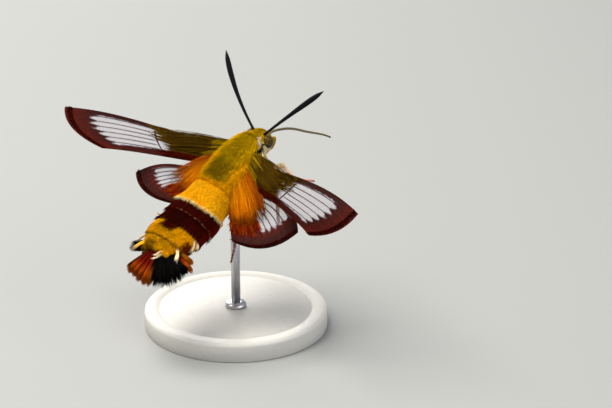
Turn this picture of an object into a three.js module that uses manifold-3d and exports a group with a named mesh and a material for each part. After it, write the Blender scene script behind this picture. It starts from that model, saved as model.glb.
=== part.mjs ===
// Hummingbird clearwing moth, Hemaris thysbe, caught hovering as it feeds, as a life-size model on a display stand.
// Millimetres. The part's frame has +Z up and its origin at the centre of the stand's underside; the moth faces -Y.
// The moth is drawn in its own frame first: +X to its right, +Y forward along the body, +Z towards its back,
// with the origin in the middle of the thorax. Its outlines are those of the coat, out to the tips of the fur.

import * as THREE from "three";
import { mergeVertices } from "three/addons/utils/BufferGeometryUtils.js";
import Module from "manifold-3d";

const wasm = await Module();
wasm.setup();

// How the moth is held
const BODY_PITCH_DEG = 28.4; // head raised
const BODY_BANK_DEG = 11; // right side lowered
const HOVER_HEIGHT = 25; // middle of the thorax above the floor
const GAP = 0.3; // clearance between pieces that meet

// Stand
const BASE_RADIUS = 14;
const BASE_THICKNESS = 3;
const BASE_CHAMFER = 0.6;
const ROD_RADIUS = 0.7;
const ROD_AT_Y = -0.3; // where the rod meets the thorax, along the body

// Trunk: [y, half width, half height, centre height] from the neck to the tip of the abdomen
const TRUNK = [
  [5.0, 2.15, 2.9, 0.95],
  [4.1, 2.85, 3.35, 0.8],
  [2.8, 3.5, 3.85, 0.6],
  [0.4, 4.45, 4.25, 0.1],
  [-2.2, 4.3, 4.2, 0.1],
  [-4.6, 4.0, 3.85, 0.15],
  [-7.4, 3.85, 3.5, 0.15],
  [-9.4, 4.3, 3.7, -0.15],
  [-13.0, 4.15, 3.4, -0.05],
  [-15.4, 3.95, 3.1, 0.15],
  [-17.9, 2.85, 2.1, -0.1],
];
const TRUNK_SIDES = 28;
const NECK_Y = 5.0;
const WAIST_Y = -4.6;
const BAND_FRONT_Y = -9.0;
const BAND_REAR_Y = -13.35;
const TAIL_ROOT_Y = -17.9;
const TAIL_SWING = 0.8; // how far the tip of the abdomen is carried to the left
const SEGMENT_EDGES = [WAIST_Y, -6.4, BAND_FRONT_Y, -11.35, BAND_REAR_Y, -16.1, TAIL_ROOT_Y];
const SEGMENT_FLARE = 0.24; // how much each segment widens from its front to its rear edge
const STEP_LENGTH = 0.12; // behind each rear edge, down to the next segment

// Head
const HEAD = { centre: [0, 6.0, 0.7], half: [2.2, 2.0, 2.2] };
const EYE = { centre: [1.55, 6.4, 1.15], half: [0.8, 1.0, 1.2] };
const PALP = { root: [0.95, 7.0, -1.3], middle: [1.0, 8.1, -1.2], tip: [0.85, 8.4, -0.4], radius: 0.42 };
const PROBOSCIS = [
  [0, 7.2, 0.4],
  [0, 9.35, -0.3],
  [0, 12.7, -3.2],
  [0, 15.9, -7.3],
  [0, 18.9, -11.1],
  [0, 20.3, -13.2],
];
const PROBOSCIS_RADIUS = [0.3, 0.2];
const PROBOSCIS_CUT = 0.5; // share of its length at which the proboscis is parted

// Feelers: thin at the root, thickest past the middle, then drawn out to a point
const ANTENNA = {
  right: { root: [1.15, 6.6, 2.5], bow: [6.1, 8.9, 8.0], tip: [9.8, 12.4, 11.1] },
  left: { root: [-1.15, 6.6, 2.5], bow: [-6.1, 8.9, 6.5], tip: [-9.0, 12.4, 10.3] },
};
const ANTENNA_RADIUS = [
  [0, 0.25],
  [0.15, 0.25],
  [0.45, 0.33],
  [0.75, 0.42],
  [0.9, 0.36],
  [1, 0.08],
];

// Legs of one side: [hip, knee, heel, toe]
const LEGS = {
  fore: [
    [1.5, 3.3, -2.6],
    [2.9, 6.75, -4.1],
    [4.55, 6.95, -6.5],
    [6.2, 9.2, -8.5],
  ],
  mid: [
    [2.0, 1.0, -3.0],
    [5.2, 2.2, -4.6],
    [6.0, 0.5, -7.4],
    [7.2, -1.2, -10.0],
  ],
  hind: [
    [1.8, -2.2, -3.0],
    [4.4, -3.4, -4.6],
    [3.6, -6.6, -6.8],
    [4.2, -9.4, -9.0],
  ],
};
const LEG_RADII = { hip: 0.5, knee: 0.36, heel: 0.3, toe: 0.22 };
const LEG_SIDES = 8;

// Wings. Each is rooted at its root's place on the right side of the moth, or mirrored on the left. Its outline is in a
// frame of its own: x along the span, y towards the leading edge, z up.
const MEMBRANE_HALF = 0.25;
const VEIN_RISE = 0.16;
const VEIN_HALF_WIDTH = 0.28;
const FOREWING = {
  root: [3.6, 1.0, 1.4],
  rootFront: [-1.2, 1.3],
  rootRear: [-1.2, -2.1],
  apex: [24.2, -2.0],
  margin: [22.9, -6.3],
  tornus: [16.2, -7.0],
  bulgeFront: 1.0,
  bulgeRear: 0.4,
  camber: 0.6,
  cell: [0.17, 0.8, 0.46],
  veins: [0, 0.13, 0.26, 0.39, 0.52, 0.65, 0.78, 0.89, 1],
  rows: 11,
};
const HINDWING = {
  root: [3.3, -2.1, -0.7],
  rootFront: [-1.2, 1.1],
  rootRear: [-1.2, -2.2],
  apex: [11.3, -1.0],
  margin: [10.2, -7.1],
  tornus: [3.5, -7.4],
  bulgeFront: 1.9,
  bulgeRear: -0.2,
  camber: 0.35,
  cell: [0.2, 0.62, 0.4],
  veins: [0, 0.16, 0.32, 0.46, 0.6, 0.75, 1],
  rows: 8,
};
// How each wing stands: sweep back, rise of the tip and lift of the leading edge, in degrees, and bend of the tip
const WINGS = [
  { name: "forewing_right", shape: FOREWING, side: 1, sweep: 5, rise: 22, feather: 24, bend: -1.3 },
  { name: "forewing_left", shape: FOREWING, side: -1, sweep: 18, rise: 15.5, feather: -2, bend: 1.3 },
  { name: "hindwing_right", shape: HINDWING, side: 1, sweep: 4, rise: -1.5, feather: 9, bend: -0.4 },
  { name: "hindwing_left", shape: HINDWING, side: -1, sweep: 31, rise: 9, feather: -10, bend: 0.4 },
];
// Long hair of the thorax that streams out over the wing roots: its locks run over the sheet between two shares of
// its span, from and reach, and two of its chord, front and rear, lifted clear of it
const WING_LOCKS = {
  forewing: { count: 4, from: 0.02, reach: 0.34, front: 0.05, rear: 0.8, lift: 0.85 },
  hindwing: { count: 5, from: 0.02, reach: 0.62, front: 0.45, rear: 0.97, lift: 1.0 },
};
const WING_LOCK_WIDTH = 1.5;

// Tail fan: flat locks that spread from a point inside the tip of the abdomen. Degrees run from left to right.
const FAN_APEX_Y = -16.1;
const FAN_REACH = [
  [-68, 5.5],
  [-48, 5.8],
  [-21, 7.0],
  [22, 8.1],
  [45, 8.4],
  [80, 6.6],
]; // how far the locks reach from that point, by degrees
const FAN_GROUPS = {
  tail_fan_left: { from: -64, to: -48, count: 3 },
  tail_fan_middle: { from: -20, to: 17, count: 5 },
  tail_fan_right: { from: 27, to: 78, count: 6 },
};
const FAN_SPLITS = [-34, 22]; // between the groups
const FAN_LAYERS = [0.22, 0, -0.22]; // how steeply the layers of locks rise or fall
const FAN_LOCK = { width: 1.6, thickness: 0.6 };
const LOCK_THICKNESS = 0.5;

const COLOURS = {
  olive: 0x8f7a0c,
  gold: 0xc98a10,
  burgundy: 0x3d0805,
  rust: 0xa83a08,
  black: 0x0d0b0a,
  cream: 0xe6cf9a,
  eye: 0x1d1a0d,
  glassy: 0xb9a3a0,
  brown: 0x54200f,
  stand: 0x2b2523,
  steel: 0x9a9c9f,
};

const radians = THREE.MathUtils.degToRad;
const vec = (p) => new THREE.Vector3(...p);
const mirrored = (p, side) => new THREE.Vector3(p[0] * side, p[1], p[2]);
// A repeatable number from -1 to 1 for piece number i, so that locks vary as real ones do
const vary = (i) => Math.sin(i * 12.9898 + 4.137) * Math.cos(i * 7.233);

// Joining and cutting closed meshes
function solid(geometry) {
  const bare = geometry.index ? geometry.toNonIndexed() : geometry.clone();
  bare.deleteAttribute("normal");
  bare.deleteAttribute("uv");
  const merged = mergeVertices(bare, 1e-4);
  const made = new wasm.Mesh({
    numProp: 3,
    vertProperties: new Float32Array(merged.attributes.position.array),
    triVerts: new Uint32Array(merged.index.array),
  });
  return new wasm.Manifold(made);
}

function geometryOf(manifold) {
  const m = manifold.getMesh();
  const geometry = new THREE.BufferGeometry();
  geometry.setAttribute("position", new THREE.BufferAttribute(new Float32Array(m.vertProperties), 3));
  geometry.setIndex(new THREE.BufferAttribute(new Uint32Array(m.triVerts), 1));
  return geometry;
}

// The largest closed body of a solid, without loose scraps
function largest(manifold) {
  return manifold.decompose().reduce((a, b) => (a.volume() >= b.volume() ? a : b));
}

const join = (solids) => solids.reduce((a, b) => a.add(b));
const cut = (body, ...tools) => largest(tools.reduce((a, b) => a.subtract(b), body));

// A closed skin over rings of equally many points, with a flat fan over each end
function skinOver(rings) {
  const sides = rings[0].length;
  const points = [];
  const faces = [];
  rings.forEach((ring) => ring.forEach((p) => points.push(p.x, p.y, p.z)));
  for (let i = 0; i + 1 < rings.length; i++)
    for (let j = 0; j < sides; j++) {
      const a = i * sides + j;
      const b = i * sides + ((j + 1) % sides);
      faces.push(a, b, b + sides, a, b + sides, a + sides);
    }
  const ends = [
    [0, -1],
    [rings.length - 1, 1],
  ];
  for (const [row, facing] of ends) {
    const middle = rings[row].reduce((sum, p) => sum.add(p), new THREE.Vector3()).divideScalar(sides);
    const m = points.push(middle.x, middle.y, middle.z) / 3 - 1;
    for (let j = 0; j < sides; j++) {
      const a = row * sides + j;
      const b = row * sides + ((j + 1) % sides);
      if (facing > 0) faces.push(a, b, m);
      else faces.push(b, a, m);
    }
  }
  const geometry = new THREE.BufferGeometry();
  geometry.setAttribute("position", new THREE.Float32BufferAttribute(points, 3));
  geometry.setIndex(faces);
  return geometry;
}

// The same skin, turned inside out where its rings run the other way round
function facingOut(geometry) {
  const made = solid(geometry);
  if (made.volume() > 0) return made;
  const index = geometry.index.array;
  for (let i = 0; i < index.length; i += 3) [index[i + 1], index[i + 2]] = [index[i + 2], index[i + 1]];
  return solid(geometry);
}

// A table's value at x, eased between its rows. The first column falls or rises steadily.
function tableAt(table, x, column) {
  const rising = table[0][0] < table[table.length - 1][0];
  const last = table.length - 2;
  let i = 0;
  while (i < last && (rising ? x > table[i + 1][0] : x < table[i + 1][0])) i++;
  const slope = (k) => {
    const a = table[Math.max(k - 1, 0)];
    const b = table[Math.min(k + 1, last + 1)];
    return (b[column] - a[column]) / (b[0] - a[0]);
  };
  const [p, q] = [table[i], table[i + 1]];
  const width = q[0] - p[0];
  const t = (x - p[0]) / width;
  const [t2, t3] = [t * t, t * t * t];
  return (
    (2 * t3 - 3 * t2 + 1) * p[column] +
    (t3 - 2 * t2 + t) * width * slope(i) +
    (3 * t2 - 2 * t3) * q[column] +
    (t3 - t2) * width * slope(i + 1)
  );
}

// How far left the middle of the trunk lies at y
function swingAt(y) {
  const along = Math.max(0, (WAIST_Y - y) / (WAIST_Y - TAIL_ROOT_Y));
  return -TAIL_SWING * along * along;
}

// How far the abdomen's coat stands in from its outline at y: each segment widens to its rear edge, then steps in
function segmentInset(y) {
  if (y > WAIST_Y || y <= TAIL_ROOT_Y) return 0;
  const i = SEGMENT_EDGES.findIndex((edge) => y > edge);
  const [front, rear] = [SEGMENT_EDGES[i - 1], SEGMENT_EDGES[i]];
  const stepped = Math.min(1, (front - y) / STEP_LENGTH);
  return SEGMENT_FLARE * stepped * ((y - rear) / (front - rear));
}

// A point on the trunk's coat at y, angle degrees up from its right side
function trunkPoint(y, angle, grow = 0) {
  const a = tableAt(TRUNK, y, 1) - segmentInset(y) + grow;
  const b = tableAt(TRUNK, y, 2) - segmentInset(y) + grow;
  const turn = radians(angle);
  return new THREE.Vector3(swingAt(y) + a * Math.cos(turn), y, tableAt(TRUNK, y, 3) + b * Math.sin(turn));
}

// A length of the trunk, from one flat face to the other, with rings at the given stations
function trunkLength(stations, grow = 0) {
  const rings = stations.map((y) =>
    Array.from({ length: TRUNK_SIDES }, (_, j) => trunkPoint(y, (j * 360) / TRUNK_SIDES, grow)),
  );
  return facingOut(skinOver(rings));
}

function evenly(from, to, count) {
  return Array.from({ length: count + 1 }, (_, i) => from + ((to - from) * i) / count);
}

// Stations along the abdomen from one face to the other, with two more where a segment steps down to the next
function stationsBetween(front, rear) {
  const stations = [front];
  for (const edge of SEGMENT_EDGES.filter((y) => y < front && y >= rear)) {
    const start = stations[stations.length - 1];
    stations.push(...evenly(start, edge, 3).slice(1));
    if (edge > rear) stations.push(edge - STEP_LENGTH);
  }
  return stations;
}

// An egg shape
function egg(centre, half, grow = 0, across = 20, down = 14) {
  const ball = new THREE.SphereGeometry(1, across, down);
  ball.scale(half[0] + grow, half[1] + grow, half[2] + grow);
  ball.translate(...centre);
  return solid(ball);
}

// A tube of varying radius along a curve
function taperedTube(curve, radiusAt, steps, sides) {
  const frames = curve.computeFrenetFrames(steps);
  const rings = evenly(0, 1, steps).map((t, i) => {
    const middle = curve.getPointAt(t);
    const radius = radiusAt(t);
    return Array.from({ length: sides }, (_, j) => {
      const turn = (j * 2 * Math.PI) / sides;
      return middle
        .clone()
        .addScaledVector(frames.normals[i], radius * Math.cos(turn))
        .addScaledVector(frames.binormals[i], radius * Math.sin(turn));
    });
  });
  return facingOut(skinOver(rings));
}

// One joint of a leg: a tapered rod with rounded ends
function limb(from, to, radiusFrom, radiusTo) {
  const along = to.clone().sub(from).normalize();
  const ends = (radius) => [
    [-0.8, 0.5],
    [0, 1],
  ].map(([step, share]) => [step * radius, share * radius]);
  const stations = [
    ...ends(radiusFrom).map(([step, r]) => [from.clone().addScaledVector(along, step), r]),
    ...ends(radiusTo)
      .map(([step, r]) => [to.clone().addScaledVector(along, -step), r])
      .reverse(),
  ];
  const side = new THREE.Vector3(0.3, 0.2, 1).cross(along).normalize();
  const up = along.clone().cross(side);
  const rings = stations.map(([middle, radius]) =>
    Array.from({ length: LEG_SIDES }, (_, j) => {
      const turn = ((j + 0.5) * 2 * Math.PI) / LEG_SIDES;
      return middle
        .clone()
        .addScaledVector(side, radius * Math.cos(turn))
        .addScaledVector(up, radius * Math.sin(turn));
    }),
  );
  return facingOut(skinOver(rings));
}

// A flat, tapered lock: it leaves its root along one direction and bends towards its flat side
function lock({ root, along, flat, length, width, thickness = LOCK_THICKNESS, bend = 0 }) {
  const forward = along.clone().normalize();
  const across = forward.clone().cross(flat).normalize();
  const up = across.clone().cross(forward);
  const stations = [
    [0, 0.75, 1],
    [0.35, 1, 1],
    [0.75, 0.8, 0.9],
    [1, 0.22, 0.4],
  ];
  const rings = stations.map(([t, wide, thick]) => {
    const middle = root
      .clone()
      .addScaledVector(forward, length * t)
      .addScaledVector(up, bend * t * t);
    const w = (width * wide) / 2;
    const h = (thickness * thick) / 2;
    return [
      [-w, 0],
      [0, h],
      [w, 0],
      [0, -h],
    ].map(([x, y]) => middle.clone().addScaledVector(across, x).addScaledVector(up, y));
  });
  return facingOut(skinOver(rings));
}

// A point of a wing's sheet: s runs from the root to the outer margin, t from the leading to the rear edge
function wingPoint(shape, s, t) {
  const mix = (p, q, k) => [p[0] + (q[0] - p[0]) * k, p[1] + (q[1] - p[1]) * k];
  const root = mix(shape.rootFront, shape.rootRear, t);
  const edge = mix(mix(shape.apex, shape.margin, t), mix(shape.margin, shape.tornus, t), t);
  const [x, y] = mix(root, edge, s);
  const bulge = shape.bulgeFront + (shape.bulgeRear - shape.bulgeFront) * t;
  const arch = shape.camber * Math.sin(Math.PI * Math.min(1, 0.15 + 0.85 * t)) * Math.sin(Math.PI * (0.1 + 0.8 * s));
  return new THREE.Vector3(x, y + bulge * 6.75 * s * s * (1 - s), arch);
}

// Columns of the sheet: each vein's crest between its two flanks
function wingColumns(shape, s) {
  const chord = wingPoint(shape, s, 0).distanceTo(wingPoint(shape, s, 1));
  const columns = [];
  shape.veins.forEach((t, i) => {
    const before = i ? t - shape.veins[i - 1] : 0;
    const after = i + 1 < shape.veins.length ? shape.veins[i + 1] - t : 0;
    if (before) columns.push([t - Math.min(VEIN_HALF_WIDTH / chord, 0.35 * before), 0]);
    columns.push([t, veinRise(shape, s, t)]);
    if (after) columns.push([t + Math.min(VEIN_HALF_WIDTH / chord, 0.35 * after), 0]);
  });
  return columns;
}

// Veins that start at the end of the closed cell rise only beyond it
function veinRise(shape, s, t) {
  const [cellFront, cellRear, cellEnd] = shape.cell;
  const inCell = t > cellFront && t < cellRear;
  const shown = inCell ? THREE.MathUtils.clamp((s - cellEnd) / 0.06, 0, 1) : 1;
  return VEIN_RISE * shown * (1 - 0.35 * s);
}

// Where a point of the wing's sheet lies on the moth, lifted off the middle of the sheet
function wingPlacer({ shape, side, sweep, rise, feather, bend }) {
  const span = new THREE.Vector3(
    side * Math.cos(radians(rise)) * Math.cos(radians(sweep)),
    -Math.cos(radians(rise)) * Math.sin(radians(sweep)),
    Math.sin(radians(rise)),
  );
  const level = new THREE.Vector3(0, 0, 1).cross(span).normalize().multiplyScalar(side);
  const above = span.clone().cross(level).multiplyScalar(side);
  const lead = level
    .clone()
    .multiplyScalar(Math.cos(radians(feather)))
    .addScaledVector(above, Math.sin(radians(feather)));
  const normal = span.clone().cross(lead).multiplyScalar(side);
  const origin = mirrored(shape.root, side);
  return (s, t, lift) => {
    const p = wingPoint(shape, s, t);
    return origin
      .clone()
      .addScaledVector(span, p.x)
      .addScaledVector(lead, p.y)
      .addScaledVector(normal, p.z + bend * s * s + lift);
  };
}

function wingSolid(wing) {
  const place = wingPlacer(wing);
  const sheets = evenly(0, 1, wing.shape.rows).map((s) =>
    wingColumns(wing.shape, s).map(([t, vein]) => [
      place(s, t, MEMBRANE_HALF + vein),
      place(s, t, -MEMBRANE_HALF - vein),
    ]),
  );
  // Each row is a closed ring: out along the upper face and back along the lower one
  const rings = sheets.map((row) => [...row.map((pair) => pair[0]), ...row.map((pair) => pair[1]).reverse()]);
  return facingOut(sheetSkin(rings));
}

// A closed skin over flat rings whose upper and lower halves are split into triangles alike
function sheetSkin(rings) {
  const sides = rings[0].length;
  const half = sides / 2;
  const points = rings.flatMap((ring) => ring.flatMap((p) => [p.x, p.y, p.z]));
  const faces = [];
  const at = (i, j) => i * sides + (j % sides);
  for (let i = 0; i + 1 < rings.length; i++)
    for (let j = 0; j < sides; j++) {
      const [a, b, c, d] = [at(i, j), at(i, j + 1), at(i + 1, j + 1), at(i + 1, j)];
      if (j < half) faces.push(a, b, c, a, c, d);
      else faces.push(a, b, d, b, c, d);
    }
  for (const [row, facing] of [
    [0, -1],
    [rings.length - 1, 1],
  ])
    for (let j = 0; j + 1 < half; j++) {
      const [a, b, c, d] = [at(row, j), at(row, j + 1), at(row, sides - 2 - j), at(row, sides - 1 - j)];
      if (facing > 0) faces.push(a, b, c, a, c, d);
      else faces.push(a, c, b, a, d, c);
    }
  const geometry = new THREE.BufferGeometry();
  geometry.setAttribute("position", new THREE.Float32BufferAttribute(points, 3));
  geometry.setIndex(faces);
  return geometry;
}

// Locks of the thorax that lie over a wing's root
function wingLocks(wing) {
  const { count, from, reach, front, rear, lift } = WING_LOCKS[wing.name.split("_")[0]];
  const place = wingPlacer(wing);
  return evenly(front, rear, count - 1).map((t, i) => {
    const root = place(from, t, lift);
    const tip = place(reach * (1 + 0.07 * vary(i)), t, lift + 0.15);
    const flat = place(from, t, lift).sub(place(from, t, 0));
    const along = tip.clone().sub(root);
    return lock({ root, along, flat, length: along.length(), width: WING_LOCK_WIDTH, bend: 0.1 });
  });
}

// Solids of the trunk
const thoraxPlain = trunkLength(evenly(NECK_Y, WAIST_Y, 12));
const abdomenClear = trunkLength(stationsBetween(WAIST_Y, BAND_REAR_Y), GAP + SEGMENT_FLARE);
const thoraxCoat = largest(join([thoraxPlain, join(WINGS.flatMap(wingLocks)).subtract(abdomenClear)]));
const thoraxClear = trunkLength([NECK_Y + GAP, ...evenly(NECK_Y, WAIST_Y, 12), WAIST_Y - GAP], GAP);

// Side tufts of the abdomen: flat pale locks over the rear edge of a segment
function sideTufts(y, count, length) {
  const tufts = [];
  for (const side of [1, -1])
    for (let i = 0; i < count; i++) {
      const turn = -22 + (44 * i) / Math.max(1, count - 1);
      const angle = side > 0 ? turn : 180 - turn;
      const root = trunkPoint(y + 0.9, angle, -0.55);
      const out = trunkPoint(y, angle, 1).sub(trunkPoint(y, angle, 0)).normalize();
      const along = new THREE.Vector3(0, -1, 0).addScaledVector(out, 0.32 + 0.08 * vary(i + y));
      const tuftLength = length * (1 + 0.12 * vary(3 * i + y));
      tufts.push(lock({ root, along, flat: out, length: tuftLength, width: 0.9, bend: 0.2 }));
    }
  return tufts;
}

const abdomenFront = trunkLength(stationsBetween(WAIST_Y - GAP, BAND_FRONT_Y));
const abdomenBandPlain = trunkLength(stationsBetween(BAND_FRONT_Y - GAP, BAND_REAR_Y));
const abdomenRearPlain = trunkLength(stationsBetween(BAND_REAR_Y - GAP, TAIL_ROOT_Y));
const abdomenBand = largest(join([abdomenBandPlain, ...sideTufts(-10.9, 2, 1.9)]));
const behindBand = trunkLength([BAND_REAR_Y, BAND_REAR_Y - GAP], 6);
const abdomenRear = largest(join([abdomenRearPlain, ...sideTufts(-14.1, 3, 2.3), ...sideTufts(-16.2, 3, 2.4)]));

// Tail fan: a core set against the last segment, locks rooted in it, and cuts that part it into three
function tailFan() {
  const apex = new THREE.Vector3(swingAt(TAIL_ROOT_Y), FAN_APEX_Y, tableAt(TRUNK, TAIL_ROOT_Y, 3));
  const face = TAIL_ROOT_Y - GAP;
  const ring = (behind, share) =>
    Array.from({ length: TRUNK_SIDES }, (_, j) => {
      const p = trunkPoint(TAIL_ROOT_Y, (j * 360) / TRUNK_SIDES);
      return new THREE.Vector3(apex.x + (p.x - apex.x) * share, face - behind, apex.z + (p.z - apex.z) * share);
    });
  const core = facingOut(skinOver([ring(0, 0.94), ring(0.7, 0.8), ring(1.2, 0.5), ring(1.5, 0.2)]));
  const ahead = solid(new THREE.BoxGeometry(30, 20, 30).translate(0, face + 10, 0));
  const inCore = 1.6; // from the fan's point to the roots of its locks
  const fanLock = (degrees, rise, i) => {
    const turn = radians(degrees);
    const along = new THREE.Vector3(Math.sin(turn), -Math.cos(turn), rise).normalize();
    const root = apex.clone().addScaledVector(along, inCore);
    root.z += rise * 2;
    const length = tableAt(FAN_REACH, degrees, 1) * (1 + 0.05 * vary(i)) - inCore;
    return lock({ root, along, flat: new THREE.Vector3(0, 0, 1), length, ...FAN_LOCK, bend: -0.5 * rise });
  };
  const group = ({ from, to, count }, seed) =>
    FAN_LAYERS.flatMap((rise, layer) =>
      evenly(from, to, count - 1).map((degrees, i) => fanLock(degrees + (layer - 1) * 2, rise, seed + i + 9 * layer)),
    );
  // Everything to one side of a plane through the fan's point, with half the gap
  const beside = (degrees, sign) => {
    const slab = new THREE.BoxGeometry(30, 60, 30).translate(sign * (15 - GAP / 2), 0, 0);
    slab.rotateZ(radians(degrees)).translate(apex.x, apex.y, apex.z);
    return solid(slab);
  };
  const cuts = {
    tail_fan_left: [beside(FAN_SPLITS[0], 1)],
    tail_fan_middle: [beside(FAN_SPLITS[0], -1), beside(FAN_SPLITS[1], 1)],
    tail_fan_right: [beside(FAN_SPLITS[1], -1)],
  };
  return Object.entries(FAN_GROUPS).map(([name, places], i) => [
    name,
    cut(join([core, ...group(places, 40 * i)]), ahead, ...cuts[name]),
  ]);
}

// Head, eyes and mouth parts
const eyes = [1, -1].map((side) => egg(mirrored(EYE.centre, side).toArray(), EYE.half));
const eyesClear = [1, -1].map((side) => egg(mirrored(EYE.centre, side).toArray(), EYE.half, GAP));
const behindHead = solid(new THREE.BoxGeometry(20, 10, 20).translate(0, NECK_Y + GAP - 5, 0));
const headWhole = egg(HEAD.centre, HEAD.half);
const headClear = egg(HEAD.centre, HEAD.half, GAP);
const head = cut(headWhole, behindHead, ...eyesClear);

function palp(side) {
  const curve = new THREE.QuadraticBezierCurve3(...[PALP.root, PALP.middle, PALP.tip].map((p) => mirrored(p, side)));
  const radiusAt = (t) => PALP.radius * (t < 0.75 ? 1 : 1 - 2.6 * (t - 0.75));
  return cut(taperedTube(curve, radiusAt, 7, 10), headClear, ...eyesClear);
}

function antenna(hand) {
  const { root, bow, tip } = ANTENNA[hand];
  const curve = new THREE.QuadraticBezierCurve3(vec(root), vec(bow), vec(tip));
  const radiusAt = (t) => tableAt(ANTENNA_RADIUS, t, 1);
  return cut(taperedTube(curve, radiusAt, 16, 9), headClear, ...eyesClear);
}

const proboscisCurve = new THREE.CatmullRomCurve3(PROBOSCIS.map(vec));

// A length of the proboscis between two shares of the whole
function proboscisLength(from, to, steps) {
  class Part extends THREE.Curve {
    getPoint(t, target = new THREE.Vector3()) {
      return target.copy(proboscisCurve.getPointAt(from + (to - from) * t));
    }
  }
  const radiusAt = (t) => THREE.MathUtils.lerp(...PROBOSCIS_RADIUS, from + (to - from) * t);
  return taperedTube(new Part(), radiusAt, steps, 8);
}

const proboscisGap = GAP / proboscisCurve.getLength();

// Legs
function leg(joints, side) {
  const [hip, knee, heel, toe] = joints.map((p) => mirrored(p, side));
  const whole = join([
    limb(hip, knee, LEG_RADII.hip, LEG_RADII.knee),
    limb(knee, heel, LEG_RADII.knee, LEG_RADII.heel),
    limb(heel, toe, LEG_RADII.heel, LEG_RADII.toe),
  ]);
  return cut(whole, thoraxClear);
}

// Stand: a turned base and a rod that reaches the underside of the thorax
function standBase() {
  const profile = [
    [0, 0],
    [BASE_RADIUS, 0],
    [BASE_RADIUS, BASE_THICKNESS - BASE_CHAMFER],
    [BASE_RADIUS - BASE_CHAMFER, BASE_THICKNESS],
    [0, BASE_THICKNESS],
  ].map(([r, z]) => new THREE.Vector2(r, z));
  return solid(new THREE.LatheGeometry(profile, 48).rotateX(Math.PI / 2));
}

function standRod(moth) {
  const rod = new THREE.CylinderGeometry(ROD_RADIUS, ROD_RADIUS, HOVER_HEIGHT, 20);
  rod.rotateX(Math.PI / 2);
  rod.translate(0, 0, BASE_THICKNESS + GAP + HOVER_HEIGHT / 2);
  const above = solid(geometryOf(thoraxClear).applyMatrix4(moth.matrix));
  return cut(solid(rod), above);
}

// The whole, as a scene graph
function node(name, manifold, colour, { roughness = 0.8, metalness = 0, opacity = 1 } = {}) {
  const material = new THREE.MeshStandardMaterial({
    color: colour,
    roughness,
    metalness,
    opacity,
    transparent: opacity < 1,
  });
  const mesh = new THREE.Mesh(geometryOf(manifold), material);
  mesh.name = name;
  return mesh;
}

const moth = new THREE.Group();
moth.rotation.set(radians(BODY_PITCH_DEG), radians(BODY_BANK_DEG), Math.PI, "ZXY");
moth.updateMatrix();
// The body's own point above the rod stands over the origin
const overRod = new THREE.Vector3(0, ROD_AT_Y, 0).applyMatrix4(moth.matrix);
moth.position.set(-overRod.x, -overRod.y, HOVER_HEIGHT);
moth.updateMatrix();

moth.add(node("thorax", thoraxCoat, COLOURS.olive));
moth.add(node("abdomen_front", abdomenFront, COLOURS.gold));
moth.add(node("abdomen_band", abdomenBand, COLOURS.burgundy));
moth.add(node("abdomen_rear", cut(abdomenRear, behindBand), COLOURS.gold));
for (const [name, manifold] of tailFan())
  moth.add(node(name, manifold, name.endsWith("middle") ? COLOURS.rust : COLOURS.black));
moth.add(node("head", head, COLOURS.olive));
moth.add(node("proboscis_root", cut(proboscisLength(0, PROBOSCIS_CUT, 14), headClear), COLOURS.black));
moth.add(node("proboscis_tip", proboscisLength(PROBOSCIS_CUT + proboscisGap, 1, 12), COLOURS.black));
[1, -1].forEach((side, i) => {
  const hand = side > 0 ? "right" : "left";
  moth.add(node("eye_" + hand, eyes[i], COLOURS.eye, { roughness: 0.25 }));
  moth.add(node("palp_" + hand, palp(side), COLOURS.cream));
  moth.add(node("antenna_" + hand, antenna(hand), COLOURS.black, { roughness: 0.55 }));
  for (const [name, joints] of Object.entries(LEGS))
    moth.add(node("leg_" + name + "_" + hand, leg(joints, side), COLOURS.cream, { roughness: 0.6 }));
});
for (const wing of WINGS)
  moth.add(node(wing.name, cut(wingSolid(wing), thoraxClear, abdomenClear), COLOURS.glassy, { opacity: 0.6 }));

const whole = new THREE.Group();
whole.add(moth);
whole.add(node("stand_base", standBase(), COLOURS.stand, { roughness: 0.45 }));
whole.add(node("stand_rod", standRod(moth), COLOURS.steel, { roughness: 0.3, metalness: 1 }));

export default whole;
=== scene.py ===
"""A hummingbird clearwing moth, Hemaris thysbe, hovering with its tongue out, on a museum's display stand.

The moth is drawn in its own frame in millimetres: +X to its right, +Y forward along the body, +Z towards its
back, with the origin in the middle of the thorax. placed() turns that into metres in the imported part's frame.
"""

import math

import bpy
import numpy as np
from mathutils import Matrix, Vector


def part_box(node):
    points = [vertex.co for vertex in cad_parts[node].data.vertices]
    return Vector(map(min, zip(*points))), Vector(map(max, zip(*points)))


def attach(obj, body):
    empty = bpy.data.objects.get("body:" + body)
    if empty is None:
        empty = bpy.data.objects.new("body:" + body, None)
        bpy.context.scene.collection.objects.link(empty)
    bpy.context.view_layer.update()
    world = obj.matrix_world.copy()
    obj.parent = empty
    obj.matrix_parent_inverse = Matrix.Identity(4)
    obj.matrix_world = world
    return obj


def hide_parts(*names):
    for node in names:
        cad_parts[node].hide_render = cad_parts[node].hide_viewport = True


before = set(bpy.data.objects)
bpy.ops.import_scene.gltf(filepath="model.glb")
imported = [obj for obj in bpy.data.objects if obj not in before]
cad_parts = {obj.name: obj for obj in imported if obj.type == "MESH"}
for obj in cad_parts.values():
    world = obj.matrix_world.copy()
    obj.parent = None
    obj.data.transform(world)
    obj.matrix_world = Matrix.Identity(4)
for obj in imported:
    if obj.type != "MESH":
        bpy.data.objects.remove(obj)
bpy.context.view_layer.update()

rng = np.random.default_rng(20)
MM = 0.001

# How the moth is held
BODY_PITCH = math.radians(28.4)
BODY_BANK = math.radians(11)
HOVER_HEIGHT = 25
ROD_AT_Y = -0.3

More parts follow.
